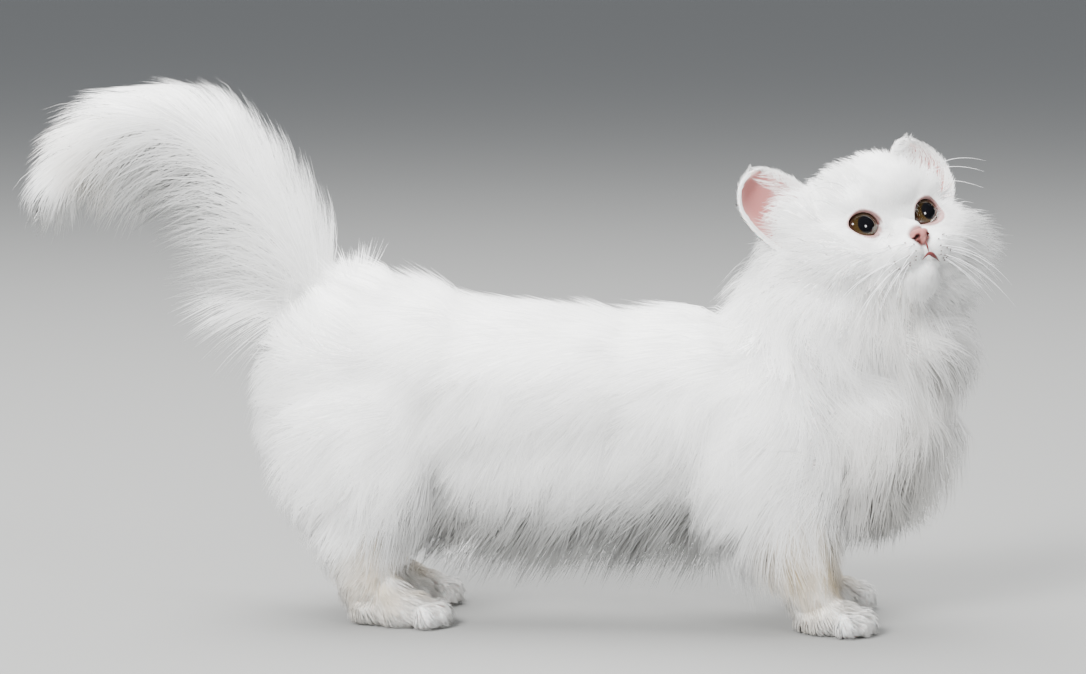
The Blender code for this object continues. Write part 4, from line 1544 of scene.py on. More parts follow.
    def mesh(
        self, name: str, lines: np.ndarray, outward: np.ndarray, width: np.ndarray,
        colours: np.ndarray, unwrap: np.ndarray,
    ) -> bpy.types.Object:
        """Join closed three-sided tufts in one mesh, each with its patch of the unwrap.

        Args:
            name: The piece's name.
            lines: The places along each tuft.
            outward: The way out at each root.
            width: Each tuft's width.
            colours: Each tuft's colour.
            unwrap: Each root's place on the skin's unwrap.

        Returns:
            The piece.
        """
        count, rings = len(lines), lines.shape[1] - 1
        verts, facing = self.rounded(lines, outward, width)
        faces, corners = self.pattern(rings)
        each = rings * 3 + 1
        index = (np.arange(count)[:, None] * each + faces[None]).ravel()
        starts = np.cumsum([0] + corners[:-1])
        starts = (np.arange(count)[:, None] * sum(corners) + starts[None]).ravel()
        mesh = bpy.data.meshes.new(name)
        mesh.vertices.add(count * each)
        mesh.vertices.foreach_set("co", self.placement.metres(verts.reshape(-1, 3)).ravel())
        mesh.loops.add(len(index))
        mesh.loops.foreach_set("vertex_index", index.astype(np.int32))
        mesh.polygons.add(len(starts))
        mesh.polygons.foreach_set("loop_start", starts.astype(np.int32))
        mesh.update(calc_edges=True)
        mesh.shade_smooth()
        mesh.normals_split_custom_set_from_vertices(facing.reshape(-1, 3))
        around, share = (faces % 3) / 2 - 0.5, np.minimum(faces // 3 / rings, 1) - 0.5
        spots = unwrap[:, None, :] + self.PATCH * np.stack((around, share), axis=1)[None]
        layer = mesh.uv_layers.new(name="OFBake")
        layer.data.foreach_set("uv", np.clip(spots, 0, 1).ravel())
        tint = colours[:, None, :] * self.source.uniform(0.93, 1.02, (count, 1, 1))
        # Each tuft is painted darker towards its root, as shade deep in the coat.
        depth = np.append(np.repeat(mix(self.depth, 1, np.arange(rings) / rings), 3), 1.0)
        paint(mesh, "shade", np.clip(tint * depth[None, :, None], 0, 1).reshape(-1, 3))
        return new_object(name, mesh)

    @staticmethod
    def pattern(rings: int) -> tuple:
        """The corners of one tuft's faces, and how many corners each face has.

        Args:
            rings: How many rings of corners a tuft has.

        Returns:
            Both of them.
        """
        faces, corners = [0, 1, 2], [3]
        for ring in range(rings):
            for corner in range(3):
                low, after = ring * 3 + corner, ring * 3 + (corner + 1) % 3
                last = ring == rings - 1
                face = [low, rings * 3, after] if last else [low, low + 3, after + 3, after]
                faces += face
                corners.append(len(face))
        return np.array(faces), corners


class Coat:
    """The whole coat: tufts of solid mesh that follow the lie of the fur."""

    GRID_LOW = (-275, -85, -8)
    GRID_HIGH = (255, 85, 275)
    GRID_STEP = 3.0
    # Hair on the head that is longer than this, in millimetres, is part of the ruff.
    RUFF_LENGTH = 13
    # How far from the nose's middle it is bare: forward, left and up.
    BARE_NOSE = (8.0, 5.6, 6.0)

    def __init__(self, body: BodyPlan, head: HeadPlan, placement: Placement, markings_and_shade: MarkingsAndShade) -> None:
        """Keep the plans, and measure the flesh that the coat lies over.

        Args:
            body: The plan of the body.
            head: The plan of the head.
            placement: Where the drawing stands in the part's frame.
            markings_and_shade: The coat's colours.
        """
        self.head, self.placement, self.markings_and_shade = head, placement, markings_and_shade
        self.lie = Lie(body, head)
        masses = [mass for group in self.lie.groups.values() for mass in group]
        self.form = Form(masses, self.GRID_LOW, self.GRID_HIGH, self.GRID_STEP)

    def regions(self, points: np.ndarray, outward: np.ndarray) -> dict:
        """Which triangles of the skin carry each piece of the coat.

        Args:
            points: The triangles' middles.
            outward: Their outward directions.

        Returns:
            One row of true and false for each region.
        """
        nearest = self.lie.shares(points).argmax(axis=1)
        trunk, neck, tail, front, hind, paws, head = (
            nearest == number for number in range(len(self.lie.groups))
        )
        chest = neck | (trunk & (points[:, 0] > 150) & (outward[:, 2] < 0.6))
        rump = trunk & ~chest & (points[:, 0] < -72) & (outward[:, 2] < 0.75)
        rest = trunk & ~chest & ~rump
        back, belly = rest & (outward[:, 2] > 0.55), rest & (outward[:, 2] < -0.5)
        flank = rest & ~back & ~belly
        head = head & self.hairy(points)
        long_haired = self.lie.face(points, outward).length > self.RUFF_LENGTH
        return {
            Region.BACK: back, Region.BELLY: belly, Region.CHEST: chest, Region.RUMP: rump,
            Region.FLANK_LEFT: flank & (points[:, 1] > 0), Region.FLANK_RIGHT: flank & (points[:, 1] < 0),
            Region.TAIL: tail, Region.LEGS: front | hind, Region.PAWS: paws & (points[:, 2] > 1.6),
            Region.RUFF: head & long_haired, Region.FACE: head & ~long_haired,
        }

    def hairy(self, points: np.ndarray) -> np.ndarray:
        """Whether places on the head carry fur: not the eyes, their lids' rims, nose or lips.

        Args:
            points: Places in the drawing, one a row.

        Returns:
            One answer for each place.
        """
        pose, eyes = self.head.pose, self.head.eyes
        local = pose.local(points)
        bare = np.linalg.norm((local - np.array(self.head.nose)) / self.BARE_NOSE, axis=1) < 1
        lips = Limb(tuple((spot, 1.2) for spot in self.head.lips[4:6]))
        furrow = Limb(tuple((spot, 0.6) for spot in self.head.furrow))
        bare |= (lips.distance(local) < 0) | (furrow.distance(local) < 0)
        for side in Side:
            near = eyes.near(pose, side, points)
            bare |= (eyes.ring(near, 0.4) < 1.0) & (near[:, 0] > 0)
        return ~bare

    def build(self, roots: Roots, material: bpy.types.Material) -> list:
        """Grow every piece of the coat.

        Args:
            roots: The skin that the tufts grow from.
            material: The coat's finish.

        Returns:
            The pieces.
        """
        middles, outward = roots.middles()
        pieces = []
        for number, (region, where) in enumerate(self.regions(middles, outward).items()):
            source = np.random.default_rng(COAT_SEED + number)
            piece = COAT[region]
            places, out, unwrap = roots.draw(where.astype(float), piece.count, source)
            way = self.lie.face if region in (Region.RUFF, Region.FACE) else self.lie.growth
            growth = way(places, out)
            turn = piece.swirl * (drift(places, 26, number) + 0.7 * drift(places, 8, 70 + number))[:, None]
            growth.flow = growth.flow * np.cos(turn) + np.cross(out, growth.flow) * np.sin(turn)
            tufts = Tufts(self.form, self.placement, source, depth=piece.depth)
            lines = tufts.grown(places, out, growth, piece.rings)
            lines = tufts.gathered(lines, piece.clump * 4, piece.gather * 0.6)
            lines = tufts.gathered(lines, piece.clump, piece.gather)
            width = growth.width * source.uniform(0.7, 1.25, len(places))
            colours = self.markings_and_shade.colours(places)
            item = tufts.mesh(region.value, lines, out, width, colours, unwrap)
            item.data.materials.append(material)
            # White hair lets the light through, so only the short fur of the paws gives a shadow.
            item.visible_shadow = region is Region.PAWS
            LOG.info("%s: %.0f mm2 of skin, %d tufts", item.name, roots.areas[where].sum(), piece.count)
            pieces.append(item)
        return pieces


class Tree:
    """A Geometry Nodes tree to which nodes and links are added."""

    def __init__(self, name: str, inputs: dict, result: str) -> None:
        """Start a tree.

        Args:
            name: The tree's name.
            inputs: The kind of each input, by the input's name.
            result: The name of its one output, which is geometry.
        """
        self.tree = bpy.data.node_groups.new(name, "GeometryNodeTree")
        face = self.tree.interface
        for label, kind in inputs.items():
            face.new_socket(label, in_out="INPUT", socket_type=f"NodeSocket{kind}")
        face.new_socket(result, in_out="OUTPUT", socket_type="NodeSocketGeometry")
        self.given, self.result = self.node("NodeGroupInput"), self.node("NodeGroupOutput")

    def node(self, kind: str, values: dict | None = None) -> bpy.types.Node:
        """Add a node, with fixed values for the inputs named.

        Args:
            kind: The kind of node.
            values: The fixed values.

        Returns:
            The node.
        """
        made = self.tree.nodes.new(kind)
        for name, value in (values or {}).items():
            made.inputs[name].default_value = value
        return made

    def link(self, *rows: tuple) -> None:
        """Link an output of a node to an input of another, for each row of the four."""
        for node, output, other, socket in rows:
            self.tree.links.new(node.outputs[output], other.inputs[socket])


def sweep_tree() -> bpy.types.NodeTree:
    """The tree that turns lines into round tapered strands.

    Returns:
        A tree with inputs for the lines, the strand's sides, its thickness and its material.
    """
    inputs = {"Lines": "Geometry", "Sides": "Int", "Thickness": "Float", "Material": "Material"}
    tree = Tree("strands", inputs, "Strands")
    curve = tree.node("GeometryNodeMeshToCurve")
    circle = tree.node("GeometryNodeCurvePrimitiveCircle", {"Radius": 1.0})
    taper = tree.node("GeometryNodeInputNamedAttribute", {"Name": "taper"})
    scale = tree.node("ShaderNodeMath")
    scale.operation = "MULTIPLY"
    tube = tree.node("GeometryNodeCurveToMesh", {"Fill Caps": True})
    smooth = tree.node("GeometryNodeSetShadeSmooth")
    coloured = tree.node("GeometryNodeSetMaterial")
    tree.link(
        (tree.given, "Lines", curve, "Mesh"),
        (tree.given, "Sides", circle, "Resolution"),
        (taper, "Attribute", scale, 0),
        (tree.given, "Thickness", scale, 1),
        (curve, "Curve", tube, "Curve"),
        (circle, "Curve", tube, "Profile Curve"),
        (scale, "Value", tube, "Scale"),
        (tube, "Mesh", smooth, "Geometry"),
        (smooth, "Geometry", coloured, "Geometry"),
        (tree.given, "Material", coloured, "Material"),
        (coloured, "Geometry", tree.result, "Strands"),
    )
    return tree.tree


def dots_tree() -> bpy.types.NodeTree:
    """The tree that sets a small round dot on each point.

    Returns:
        A tree with inputs for the points, the dots' radius and their material.
    """
    inputs = {"Points": "Geometry", "Radius": "Float", "Material": "Material"}
    tree = Tree("dots", inputs, "Dots")
    ball = tree.node("GeometryNodeMeshIcoSphere", {"Subdivisions": 2})
    spread = tree.node("GeometryNodeInstanceOnPoints")
    real = tree.node("GeometryNodeRealizeInstances")
    coloured = tree.node("GeometryNodeSetMaterial")
    tree.link(
        (tree.given, "Points", spread, "Points"),
        (tree.given, "Radius", ball, "Radius"),
        (ball, "Mesh", spread, "Instance"),
        (spread, "Instances", real, "Geometry"),
        (real, "Geometry", coloured, "Geometry"),
        (tree.given, "Material", coloured, "Material"),
        (coloured, "Geometry", tree.result, "Dots"),
    )
    return tree.tree


def run_tree(item: bpy.types.Object, tree: bpy.types.NodeTree, values: dict) -> bpy.types.Object:
    """Put an object through a tree and keep the result as its plain mesh.

    Args:
        item: The object that holds the lines or points.
        tree: The tree.
        values: The tree's inputs by name.

    Returns:
        The same object with the result.
    """
    change = item.modifiers.new("shape", "NODES")
    change.node_group = tree
    for socket in tree.interface.items_tree:
        if socket.in_out == "INPUT" and socket.name in values:
            change[socket.identifier] = values[socket.name]
    return applied(item)


def strands(
    name: str, lines: list, tapers: list, thickness: float, sides: int,
    material: bpy.types.Material, placement: Placement, closed: bool = False,
) -> bpy.types.Object:
    """Sweep round strands along lines.

    Args:
        name: The piece's name.
        lines: Each line's places in the drawing.
        tapers: The share of the thickness at each place of each line.
        thickness: The strands' full radius in millimetres.
        sides: How many sides a strand has.
        material: The strands' finish.
        placement: Where the drawing lies in the model's frame.
        closed: Whether each line ends where it starts.

    Returns:
        The piece.
    """
    verts, edges = [], []
    for line in lines:
        first = len(verts)
        verts.extend(placement.metres(line))
        edges += [(index, index + 1) for index in range(first, len(verts) - 1)]
        if closed:
            edges.append((len(verts) - 1, first))
    item = new_shape(name, verts, edges, [])
    taper = item.data.attributes.new("taper", "FLOAT", "POINT")
    taper.data.foreach_set("value", np.concatenate(tapers))
    values = {"Sides": sides, "Thickness": thickness * MM, "Material": material}
    item = run_tree(item, sweep_tree(), values)
    outward_faces(item)
    return item


class Eye:
    """One eye with its iris, pupil and lid rim."""

    WHITE = np.array((0.10, 0.05, 0.04))
    PUPIL = np.array((0.004, 0.004, 0.005))
    OLIVE = np.array((0.045, 0.028, 0.010))
    COPPER = np.array((0.032, 0.012, 0.006))
    DARK_RING = np.array((0.025, 0.012, 0.006))
    RIM_STEPS = 72

    def __init__(self, head: HeadPlan, placement: Placement, side: Side) -> None:
        """Keep the head's plan and which eye this is."""
        self.head, self.placement, self.side = head, placement, side
        self.word = side.name.lower()

    def ball(self, material: bpy.types.Material) -> bpy.types.Object:
        """The round eyeball with its painted iris and pupil.

        Args:
            material: The eye's finish, which takes its colour from the paint.

        Returns:
            The eyeball.
        """
        eyes, pose = self.head.eyes, self.head.pose
        bm = bmesh.new()
        bmesh.ops.create_uvsphere(bm, u_segments=96, v_segments=80, radius=eyes.radius)
        mesh = bpy.data.meshes.new(f"eyeball_{self.word}")
        bm.to_mesh(mesh)
        bm.free()
        local = points_of(mesh)[:, [2, 0, 1]]
        off = np.hypot(local[:, 1], local[:, 2])
        front = local[:, 0] > 0
        places = eyes.middle(pose, self.side) + local @ eyes.axes(pose, self.side).T
        mesh.vertices.foreach_set("co", self.placement.metres(places).ravel())
        mesh.update()
        mesh.shade_smooth()
        paint(mesh, "shade", self.iris(off, np.arctan2(local[:, 2], local[:, 1]), front))
        item = new_object(f"eyeball_{self.word}", mesh)
        outward_faces(item)
        return dress(item, material)

    def iris(self, off: np.ndarray, turn: np.ndarray, front: np.ndarray) -> np.ndarray:
        """The eye's colour at a distance from the pupil's middle, with the upper lid's shade painted on the
        iris.

        Args:
            off: The distance in millimetres.
            turn: The direction round the pupil.
            front: Whether the place is on the front half.

        Returns:
            One row of red, green and blue for each place.
        """
        off, turn = off[:, None], turn[:, None]
        streak = 0.85 + 0.15 * np.sin(turn * 23 + 2 * np.sin(turn * 7)) * np.sin(turn * 41)
        # The iris is painted darker towards its top, as the shade of the upper lid.
        bright = streak * (1.2 - 0.8 * (0.5 + 0.5 * np.sin(turn)))
        glow = mix(self.OLIVE, self.COPPER, ramp(5.6, 7.8, off)) * bright
        colour = mix(self.PUPIL, glow, ramp(4.3, 4.7, off))
        colour = mix(colour, self.DARK_RING, ramp(7.3, 8.2, off))
        colour = mix(colour, self.WHITE, ramp(8.5, 9.0, off))
        return np.where(front[:, None], colour, self.WHITE)

    def rim(self, material: bpy.types.Material) -> bpy.types.Object:
        """The moist rim along the lids.

        Args:
            material: The rim's finish.

        Returns:
            The rim as a closed tube.
        """
        eyes = self.head.eyes
        outline = eyes.outline(self.side, self.RIM_STEPS, 0.1)
        line = eyes.on_ball(self.head.pose, self.side, outline, eyes.radius + 0.75)
        turn = np.linspace(0, math.tau, self.RIM_STEPS, endpoint=False)
        taper = 0.8 + 0.35 * np.maximum(0, np.sin(turn)) + 0.5 * np.maximum(0, -np.cos(turn)) ** 6
        name = f"lid_rim_{self.word}"
        return strands(name, [line], [taper], 0.62, 10, material, self.placement, closed=True)

    def corner(self, material: bpy.types.Material) -> bpy.types.Object:
        """The small fleshy bulb in the eye's inner corner.

        Args:
            material: Its finish.

        Returns:
            The bulb.
        """
        eyes, pose = self.head.eyes, self.head.pose
        spot = np.array([(-self.side.value * 9.2, -1.2)])
        middle = eyes.on_ball(pose, self.side, spot, eyes.radius + 0.1)[0]
        bulb = Ball(tuple(middle), (0.9, 1.5, 1.1), eyes.axes(pose, self.side))
        item = clay(f"eye_corner_{self.word}", [bulb], self.placement, 0.25, 2)
        return dress(item, material)


class Ear:
    """One ear: a thin cupped shell, furred outside and on its rim, with wisps inside."""

    INNER = ((-5, 20, 20), (-8, 26, 31), (-10, 30, 38), (-12, 36, 44), (-14, 42, 48), (-15, 48, 49))
    OUTER = ((-5, 46, -6), (-8, 57, 6), (-10, 64, 18), (-12, 66, 30), (-14, 61, 41), (-15, 52, 48))
    ROWS = 30
    COLUMNS = 23
    THICK = 1.3
    BACK_HAIRS = 2100
    RIM_HAIRS = 1700
    DEEP_PINK, PALE_PINK = np.array((0.29, 0.10, 0.095)), np.array((0.48, 0.26, 0.235))
    FURRY, OUTSIDE = np.array((0.9, 0.84, 0.81)), np.array((0.9, 0.86, 0.83))

    def __init__(self, head: HeadPlan, placement: Placement, side: Side, cup: float = 9.0) -> None:
        """Keep the head's plan and lay out the ear's cupped sheet.

        Args:
            head: The plan of the head.
            placement: Where the drawing stands in the part's frame.
            side: The side of the body.
            cup: How far the sheet bows where it is wide.
        """
        self.head, self.placement, self.side = head, placement, side
        self.word = side.name.lower()
        marks = np.linspace(0, 1, len(self.INNER))
        rows = np.linspace(0, 1, self.ROWS)
        inner, outer = (
            self.smooth(marks, np.array(edge, dtype=float), rows) for edge in (self.INNER, self.OUTER)
        )
        share = np.linspace(0, 1, self.COLUMNS)[None, :, None]
        width = np.linalg.norm(outer - inner, axis=1)
        sheet = mix(inner[:, None], outer[:, None], share)
        bow = cup * np.minimum(1, width / 30)[:, None] * 4 * share[..., 0] * (1 - share[..., 0])
        sheet[..., 0] -= bow
        self.sheet = head.pose.place((sheet * (1, side.value, 1)).reshape(-1, 3)).reshape(sheet.shape)
        down, across = np.gradient(self.sheet, axis=0), np.gradient(self.sheet, axis=1)
        front = unit(np.cross(down, across))
        front = front * np.sign((front[:-4] @ head.pose.turn()[:, 0]).mean())
        self.front = unit(front + 0.5 * front[4:-6].mean(axis=(0, 1)))

    @staticmethod
    def smooth(marks: np.ndarray, edge: np.ndarray, rows: np.ndarray) -> np.ndarray:
        """An edge at finer rows, on soft bends through its places.

        Args:
            marks: Where the edge's places lie from root to tip.
            edge: The edge's places.
            rows: How far from root to tip.

        Returns:
            One place for each of the rows.
        """
        slope = np.gradient(edge, marks, axis=0)
        index = np.clip(np.searchsorted(marks, rows, side="right") - 1, 0, len(marks) - 2)
        size = (marks[index + 1] - marks[index])[:, None]
        part = (rows[:, None] - marks[index][:, None]) / size
        bends = slope[index] * (part ** 3 - 2 * part ** 2 + part)
        bends += slope[index + 1] * (part ** 3 - part ** 2)
        return mix(edge[index], edge[index + 1], 3 * part ** 2 - 2 * part ** 3) + size * bends

    def shell(self, material: bpy.types.Material) -> bpy.types.Object:
        """The ear's thin shell, pink inside and paler outside.

        Args:
            material: The shell's finish, which takes its colour from the paint.

        Returns:
            The shell as a closed mesh.
        """
        rows, columns = self.ROWS, self.COLUMNS
        back = self.sheet - self.front * self.THICK
        verts = np.concatenate((self.sheet.reshape(-1, 3), back.reshape(-1, 3)))
        half = rows * columns
        faces = []
        for row in range(rows - 1):
            for column in range(columns - 1):
                start = row * columns + column
                faces.append((start, start + 1, start + columns + 1, start + columns))
                faces.append(tuple(half + spot for spot in reversed(faces[-1])))
        edge = list(range(columns)) + [row * columns + columns - 1 for row in range(1, rows)]
        edge += [half - 1 - column for column in range(1, columns)]
        edge += [row * columns for row in range(rows - 2, 0, -1)]
        for one, after in zip(edge, edge[1:] + edge[:1]):
            faces.append((after, one, half + one, half + after))
        item = new_shape(f"ear_shell_{self.word}", self.placement.metres(verts), [], faces)
        height = np.repeat(np.linspace(0, 1, rows), columns)[:, None]
        middle = 1 - np.abs(np.tile(np.linspace(-1, 1, columns), rows))[:, None] ** 3
        inside = mix(self.PALE_PINK, self.DEEP_PINK, middle * (1 - 0.35 * height))
        furry = np.maximum(ramp(0.72, 0.98, 1 - middle), ramp(0.8, 0.96, height))
        inside = mix(inside, self.FURRY, furry)
        paint(item.data, "shade", np.concatenate((inside, np.tile(self.OUTSIDE, (half, 1)))))
        outward_faces(item)
        return dress(item, material)

    def fur(self, material: bpy.types.Material, markings_and_shade: MarkingsAndShade) -> bpy.types.Object:
        """The fur outside, on the rim, and in wisps across the ear's opening.

        Args:
            material: The coat's finish.
            markings_and_shade: The coat's colours.

        Returns:
            The fur as one piece.
        """
        source = np.random.default_rng(EAR_SEED + self.side.value)
        groups = [self.outside(source), self.rim(source), self.wisps(source)]
        places, out, unwrap = (np.concatenate([group[part] for group in groups]) for part in range(3))
        growth = Growth.joined([group[3] for group in groups])
        width = growth.width
        tufts = Tufts(None, self.placement, source, 0.15)
        lines = tufts.gathered(tufts.grown(places, out, growth, 2), 6, 0.3)
        colours = markings_and_shade.colours(places)
        item = tufts.mesh(f"ear_fur_{self.word}", lines, out, width, colours, unwrap)
        item.data.materials.append(material)
        item.visible_shadow = False
        return item

    def scatter(self, rows: np.ndarray, columns: np.ndarray) -> tuple:
        """Places on the sheet, its front's direction, its run to the tip and its run across.

        Args:
            rows: How far from root to tip.
            columns: How far across.

        Returns:
            The four of them.
        """
        row = rows * (self.ROWS - 1.001)
        column = columns * (self.COLUMNS - 1.001)
        low, left = row.astype(int), column.astype(int)
        part, share = (row - low)[:, None], (column - left)[:, None]
        places, front = (
            mix(
                mix(grid[low, left], grid[low, left + 1], share),
                mix(grid[low + 1, left], grid[low + 1, left + 1], share), part,
            )
            for grid in (self.sheet, self.front)
        )
        up = unit(self.sheet[low + 1, left] - self.sheet[low, left])
        across = unit(self.sheet[low, left + 1] - self.sheet[low, left])
        return places, unit(front), up, across

    @staticmethod
    def sown(places: np.ndarray, out: np.ndarray, spots: tuple, flow: np.ndarray, *sizes: float) -> tuple:
        """Gather one group of hairs.

        Args:
            places: Their roots.
            out: The way out there.
            spots: Their rows and columns on the sheet.
            flow: The way they lie.
            sizes: Their length, their width and how steeply they rise.

        Returns:
            The roots, the way out, the places on the unwrap and the growth.
        """
        length, width, rise = sizes
        growth = Lie.way(
            places, flow, length=length, width=width, rise=rise, lift=0, cling=0.3, hug=0, droop=0.1,
        )
        return places, out, np.stack(spots, axis=1), growth

    def outside(self, source: np.random.Generator) -> tuple:
        """Short fur over the back of the ear, lying towards its tip.

        Args:
            source: The seeded draws.

        Returns:
            The roots, the way out, the places on the unwrap and the growth.
        """
        rows = 0.96 * source.random(self.BACK_HAIRS) ** 0.85
        columns = source.random(self.BACK_HAIRS)
        places, front, up, across = self.scatter(rows, columns)
        flow = up + across * (0.5 * (columns - 0.5))[:, None]
        return self.sown(places - front, -front, (rows, columns), flow, 7.5 - 2.5 * rows, 0.5, 0.3)

    def rim(self, source: np.random.Generator) -> tuple:
        """A soft fringe that stands out from both edges of the ear.

        Args:
            source: The seeded draws.

        Returns:
            The roots, the way out, the places on the unwrap and the growth.
        """
        count = self.RIM_HAIRS
        rows = 0.93 * source.random(count)
        outer = source.random(count) < 0.5
        columns = np.where(outer, 1 - 0.1 * source.random(count), 0.1 * source.random(count))
        places, front, up, across = self.scatter(rows, columns)
        away = across * np.where(outer, 1, -1)[:, None]
        out = unit(front * source.uniform(0.0, 1.1, count)[:, None] + away)
        flow = 0.8 * up + 0.2 * front + away * 0.3
        length = (5.5 - 1.5 * rows) * source.uniform(0.6, 1.1, count)
        return self.sown(places, out, (rows, columns), flow, length, 0.36, 0.75)

    def wisps(self, source: np.random.Generator) -> tuple:
        """Long wisps that spring from the ear's front edge and base and sweep across.

        Args:
            source: The seeded draws.

        Returns:
            The roots, the way out, the places on the unwrap and the growth.
        """
        thick = self.side is Side.LEFT
        count, spread, top, width = (2000, 1.0, 0.9, 0.34) if thick else (300, 0.24, 0.7, 0.17)
        rows, columns = top * source.random(count) ** 1.1, spread * source.random(count) ** 1.3
        low = source.random(count) < 0.3
        columns = np.where(low, source.random(count) * 0.9, columns)
        rows = np.where(low, rows * 0.16, rows)
        places, front, up, across = self.scatter(rows, columns)
        flow = 0.9 * up + across * (0.6 - 0.7 * columns)[:, None] + front * 0.3
        length = (17 - 9 * rows) * source.uniform(0.6, 1.0, count)
        return self.sown(places, front, (rows, columns), flow, length, width, 0.65)


class Muzzle:
    """The nose, lips, whiskers and the rows of whisker roots."""

    PINK, NOSTRIL = np.array((0.36, 0.145, 0.13)), np.array((0.08, 0.02, 0.02))
    LIP_STEPS = 31
    WHISKER_STEPS = 15

    def __init__(self, head: HeadPlan, placement: Placement) -> None:
        """Keep the head's plan."""
        self.head, self.placement = head, placement

    def balls(self, *parts: tuple) -> list:
        """Balls on the head, the ones off its middle made on both sides.

        Args:
            parts: Each ball's place and radii.

        Returns:
            The balls.
        """
        pose, made = self.head.pose, []
        for spot, radii in parts:
            for side in Side if spot[1] else (Side.LEFT,):
                made.append(Ball(tuple(pose.place(mirrored(spot, side))), radii, pose.turn()))
        return made

    def nose(self, material: bpy.types.Material) -> bpy.types.Object:
        """The nose leather with its wings and nostrils, painted dark inside as their shade.

        Args:
            material: The nose's finish.

        Returns:
            The nose.
        """
        x, _, z = self.head.nose
        parts = self.balls(
            ((x + 0.8, 0, z), (4.0, 2.8, 3.5)), ((x + 0.5, 2.2, z + 1.2), (3.6, 2.7, 2.1)),
            ((x, 3.2, z - 0.7), (3.6, 2.3, 1.9)), ((x + 1.2, 0, z - 2.6), (3.1, 1.2, 2.2)),
        )
        item = clay("nose_leather", parts, self.placement, 0.32, 6)
        holes = self.balls(
            ((x + 2.9, 3.3, z - 0.6), (2.6, 1.3, 0.9)), ((x + 1.4, 4.7, z - 1.2), (2.8, 1.5, 0.6)),
        )
        item = combine(item, clay("nostrils", holes, self.placement, 0.25, 2), "DIFFERENCE")
        places = self.placement.drawing(points_of(item.data))
        gap = np.min([hole.distance(places) for hole in holes], axis=0)[:, None]
        # The nostrils are painted dark inside, as the shade in them.
        paint(item.data, "shade", mix(self.NOSTRIL, self.PINK, ramp(-0.1, 0.7, gap)))
        return dress(item, material)

    def lips(self, material: bpy.types.Material) -> bpy.types.Object:
        """The dark line of the mouth and of the furrow, deep in their grooves: dark pink lip skin, darkened
        further as the painted shade of the grooves.

        Args:
            material: Its finish.

        Returns:
            The line.
        """
        pose = self.head.pose
        lines, tapers = [], []
        share = np.linspace(0, 1, self.LIP_STEPS)
        for part, thick in ((self.head.lips[3:7], 1.0), (self.head.furrow, 0.5)):
            middle = np.array(part, dtype=float)
            edge = Ear.smooth(np.linspace(0, 1, len(middle)), middle, share)
            edge[:, 0] -= 0.5
            lines.append(pose.place(edge))
            tapers.append(thick * (0.15 + 0.85 * np.sin(share * math.pi) ** 2))
        return strands("lips", lines, tapers, 1.1, 10, material, self.placement)

    def roots(self) -> list:
        """The rows of whisker roots on the pads, each place with its row and number.

        Returns:
            One entry for each root.
        """
        found = []
        for side in Side:
            for row in range(4):
                for number in range(5 - (row == 0)):
                    spot = (35.0 - 3.4 * number, 8.0 + 2.3 * number, -17.5 - 2.3 * row + 0.1 * number)
                    found.append((side, row, number, mirrored(spot, side)))
        return found

    def on_pad(self, spot: np.ndarray, deep: float = 0.15) -> tuple:
        """The place on the whisker pads nearest to a place on the head, and the way out there.

        Args:
            spot: The place on the head.
            deep: How deep in the skin it ends.

        Returns:
            Both of them.
        """
        masses, step = self.head.masses(), 0.2
        place = self.head.pose.place(spot)[None]
        for _ in range(12):
            gaps = [mass.distance(place)[0] for mass in masses]
            mass, gap = masses[int(np.argmin(gaps))], min(gaps)
            slope = [mass.distance(place + np.eye(3)[axis] * step)[0] - gap for axis in range(3)]
            out = unit(np.array(slope))
            place = place - out * (gap + deep)
        return place[0], out

    def dots(self, material: bpy.types.Material) -> bpy.types.Object:
        """The small grey spots from which the whiskers spring.

        Args:
            material: Its finish.

        Returns:
            The spots, joined in one piece.
        """
        places = np.array([self.on_pad(spot, -0.8)[0] for _, _, _, spot in self.roots()])
        item = new_shape("whisker_spots", self.placement.metres(places), [], [])
        item = run_tree(item, dots_tree(), {"Radius": 0.42 * MM, "Material": material})
        return dress(item, material)

    def whiskers(self, material: bpy.types.Material) -> bpy.types.Object:
        """The whiskers of the pads, and a few over each eye and on the cheeks.

        Args:
            material: Its finish.

        Returns:
            The whiskers, joined in one piece.
        """
        source = np.random.default_rng(WHISKER_SEED)
        lines, turn = [], self.head.pose.turn()
        for side, row, number, spot in self.roots():
            if number == 0 and row > 1:
                continue
            start, _ = self.on_pad(spot)
            aim = np.array((0.2 - 0.14 * number, side.value, -0.1 - 0.22 * row + 0.05 * number))
            reach = (34 + 6 * number) * source.uniform(0.8, 1.1) * (0.7 if row == 3 else 1)
            lines.append(self.bent(start, turn @ aim, reach, (-0.3, 0, -0.9 + 0.1 * row), source))
        for side in Side:
            for number in range(3):
                start, _ = self.on_pad(mirrored((17 - 3 * number, 17 + 4.5 * number, 17 - number), side))
                aim = np.array((0.35, side.value * 0.8, 0.6 - 0.2 * number))
                bend = (0.1, side.value * 0.5, -1.3)
                lines.append(self.bent(start, turn @ aim, 42 - 3 * number, bend, source))
            for number in range(2):
                start, _ = self.on_pad(mirrored((2 - 5 * number, 38, -16 - 4 * number), side))
                aim = np.array((0.2, side.value, -0.15))
                lines.append(self.bent(start, turn @ aim, 26, (-0.2, 0, -0.3), source))
        tapers = [(1 - np.linspace(0, 1, len(line))) ** 0.8 * 0.9 + 0.1 for line in lines]
        return strands("whiskers", lines, tapers, 0.24, 5, material, self.placement)

    def bent(
        self, start: np.ndarray, aim: np.ndarray, length: float, bend: tuple, source: np.random.Generator,
    ) -> np.ndarray:
        """One whisker's line, which bends evenly from its aim.

        Args:
            start: The root.
            aim: The way it leaves the skin.
            length: Its length.
            bend: How its aim changes towards the tip, forward, left and up on the head.
            source: The random numbers.

        Returns:
            The places along it.
        """
        aim = unit(aim + source.normal(scale=0.07, size=3))
        change = self.head.pose.turn() @ np.array(bend)
        line = [start - aim * 1.5]
        steps = self.WHISKER_STEPS
        for step in range(steps):
            share = (step / (steps - 1)) ** 1.3
            line.append(line[-1] + unit(aim + change * share) * length / steps)
        return np.array(line)


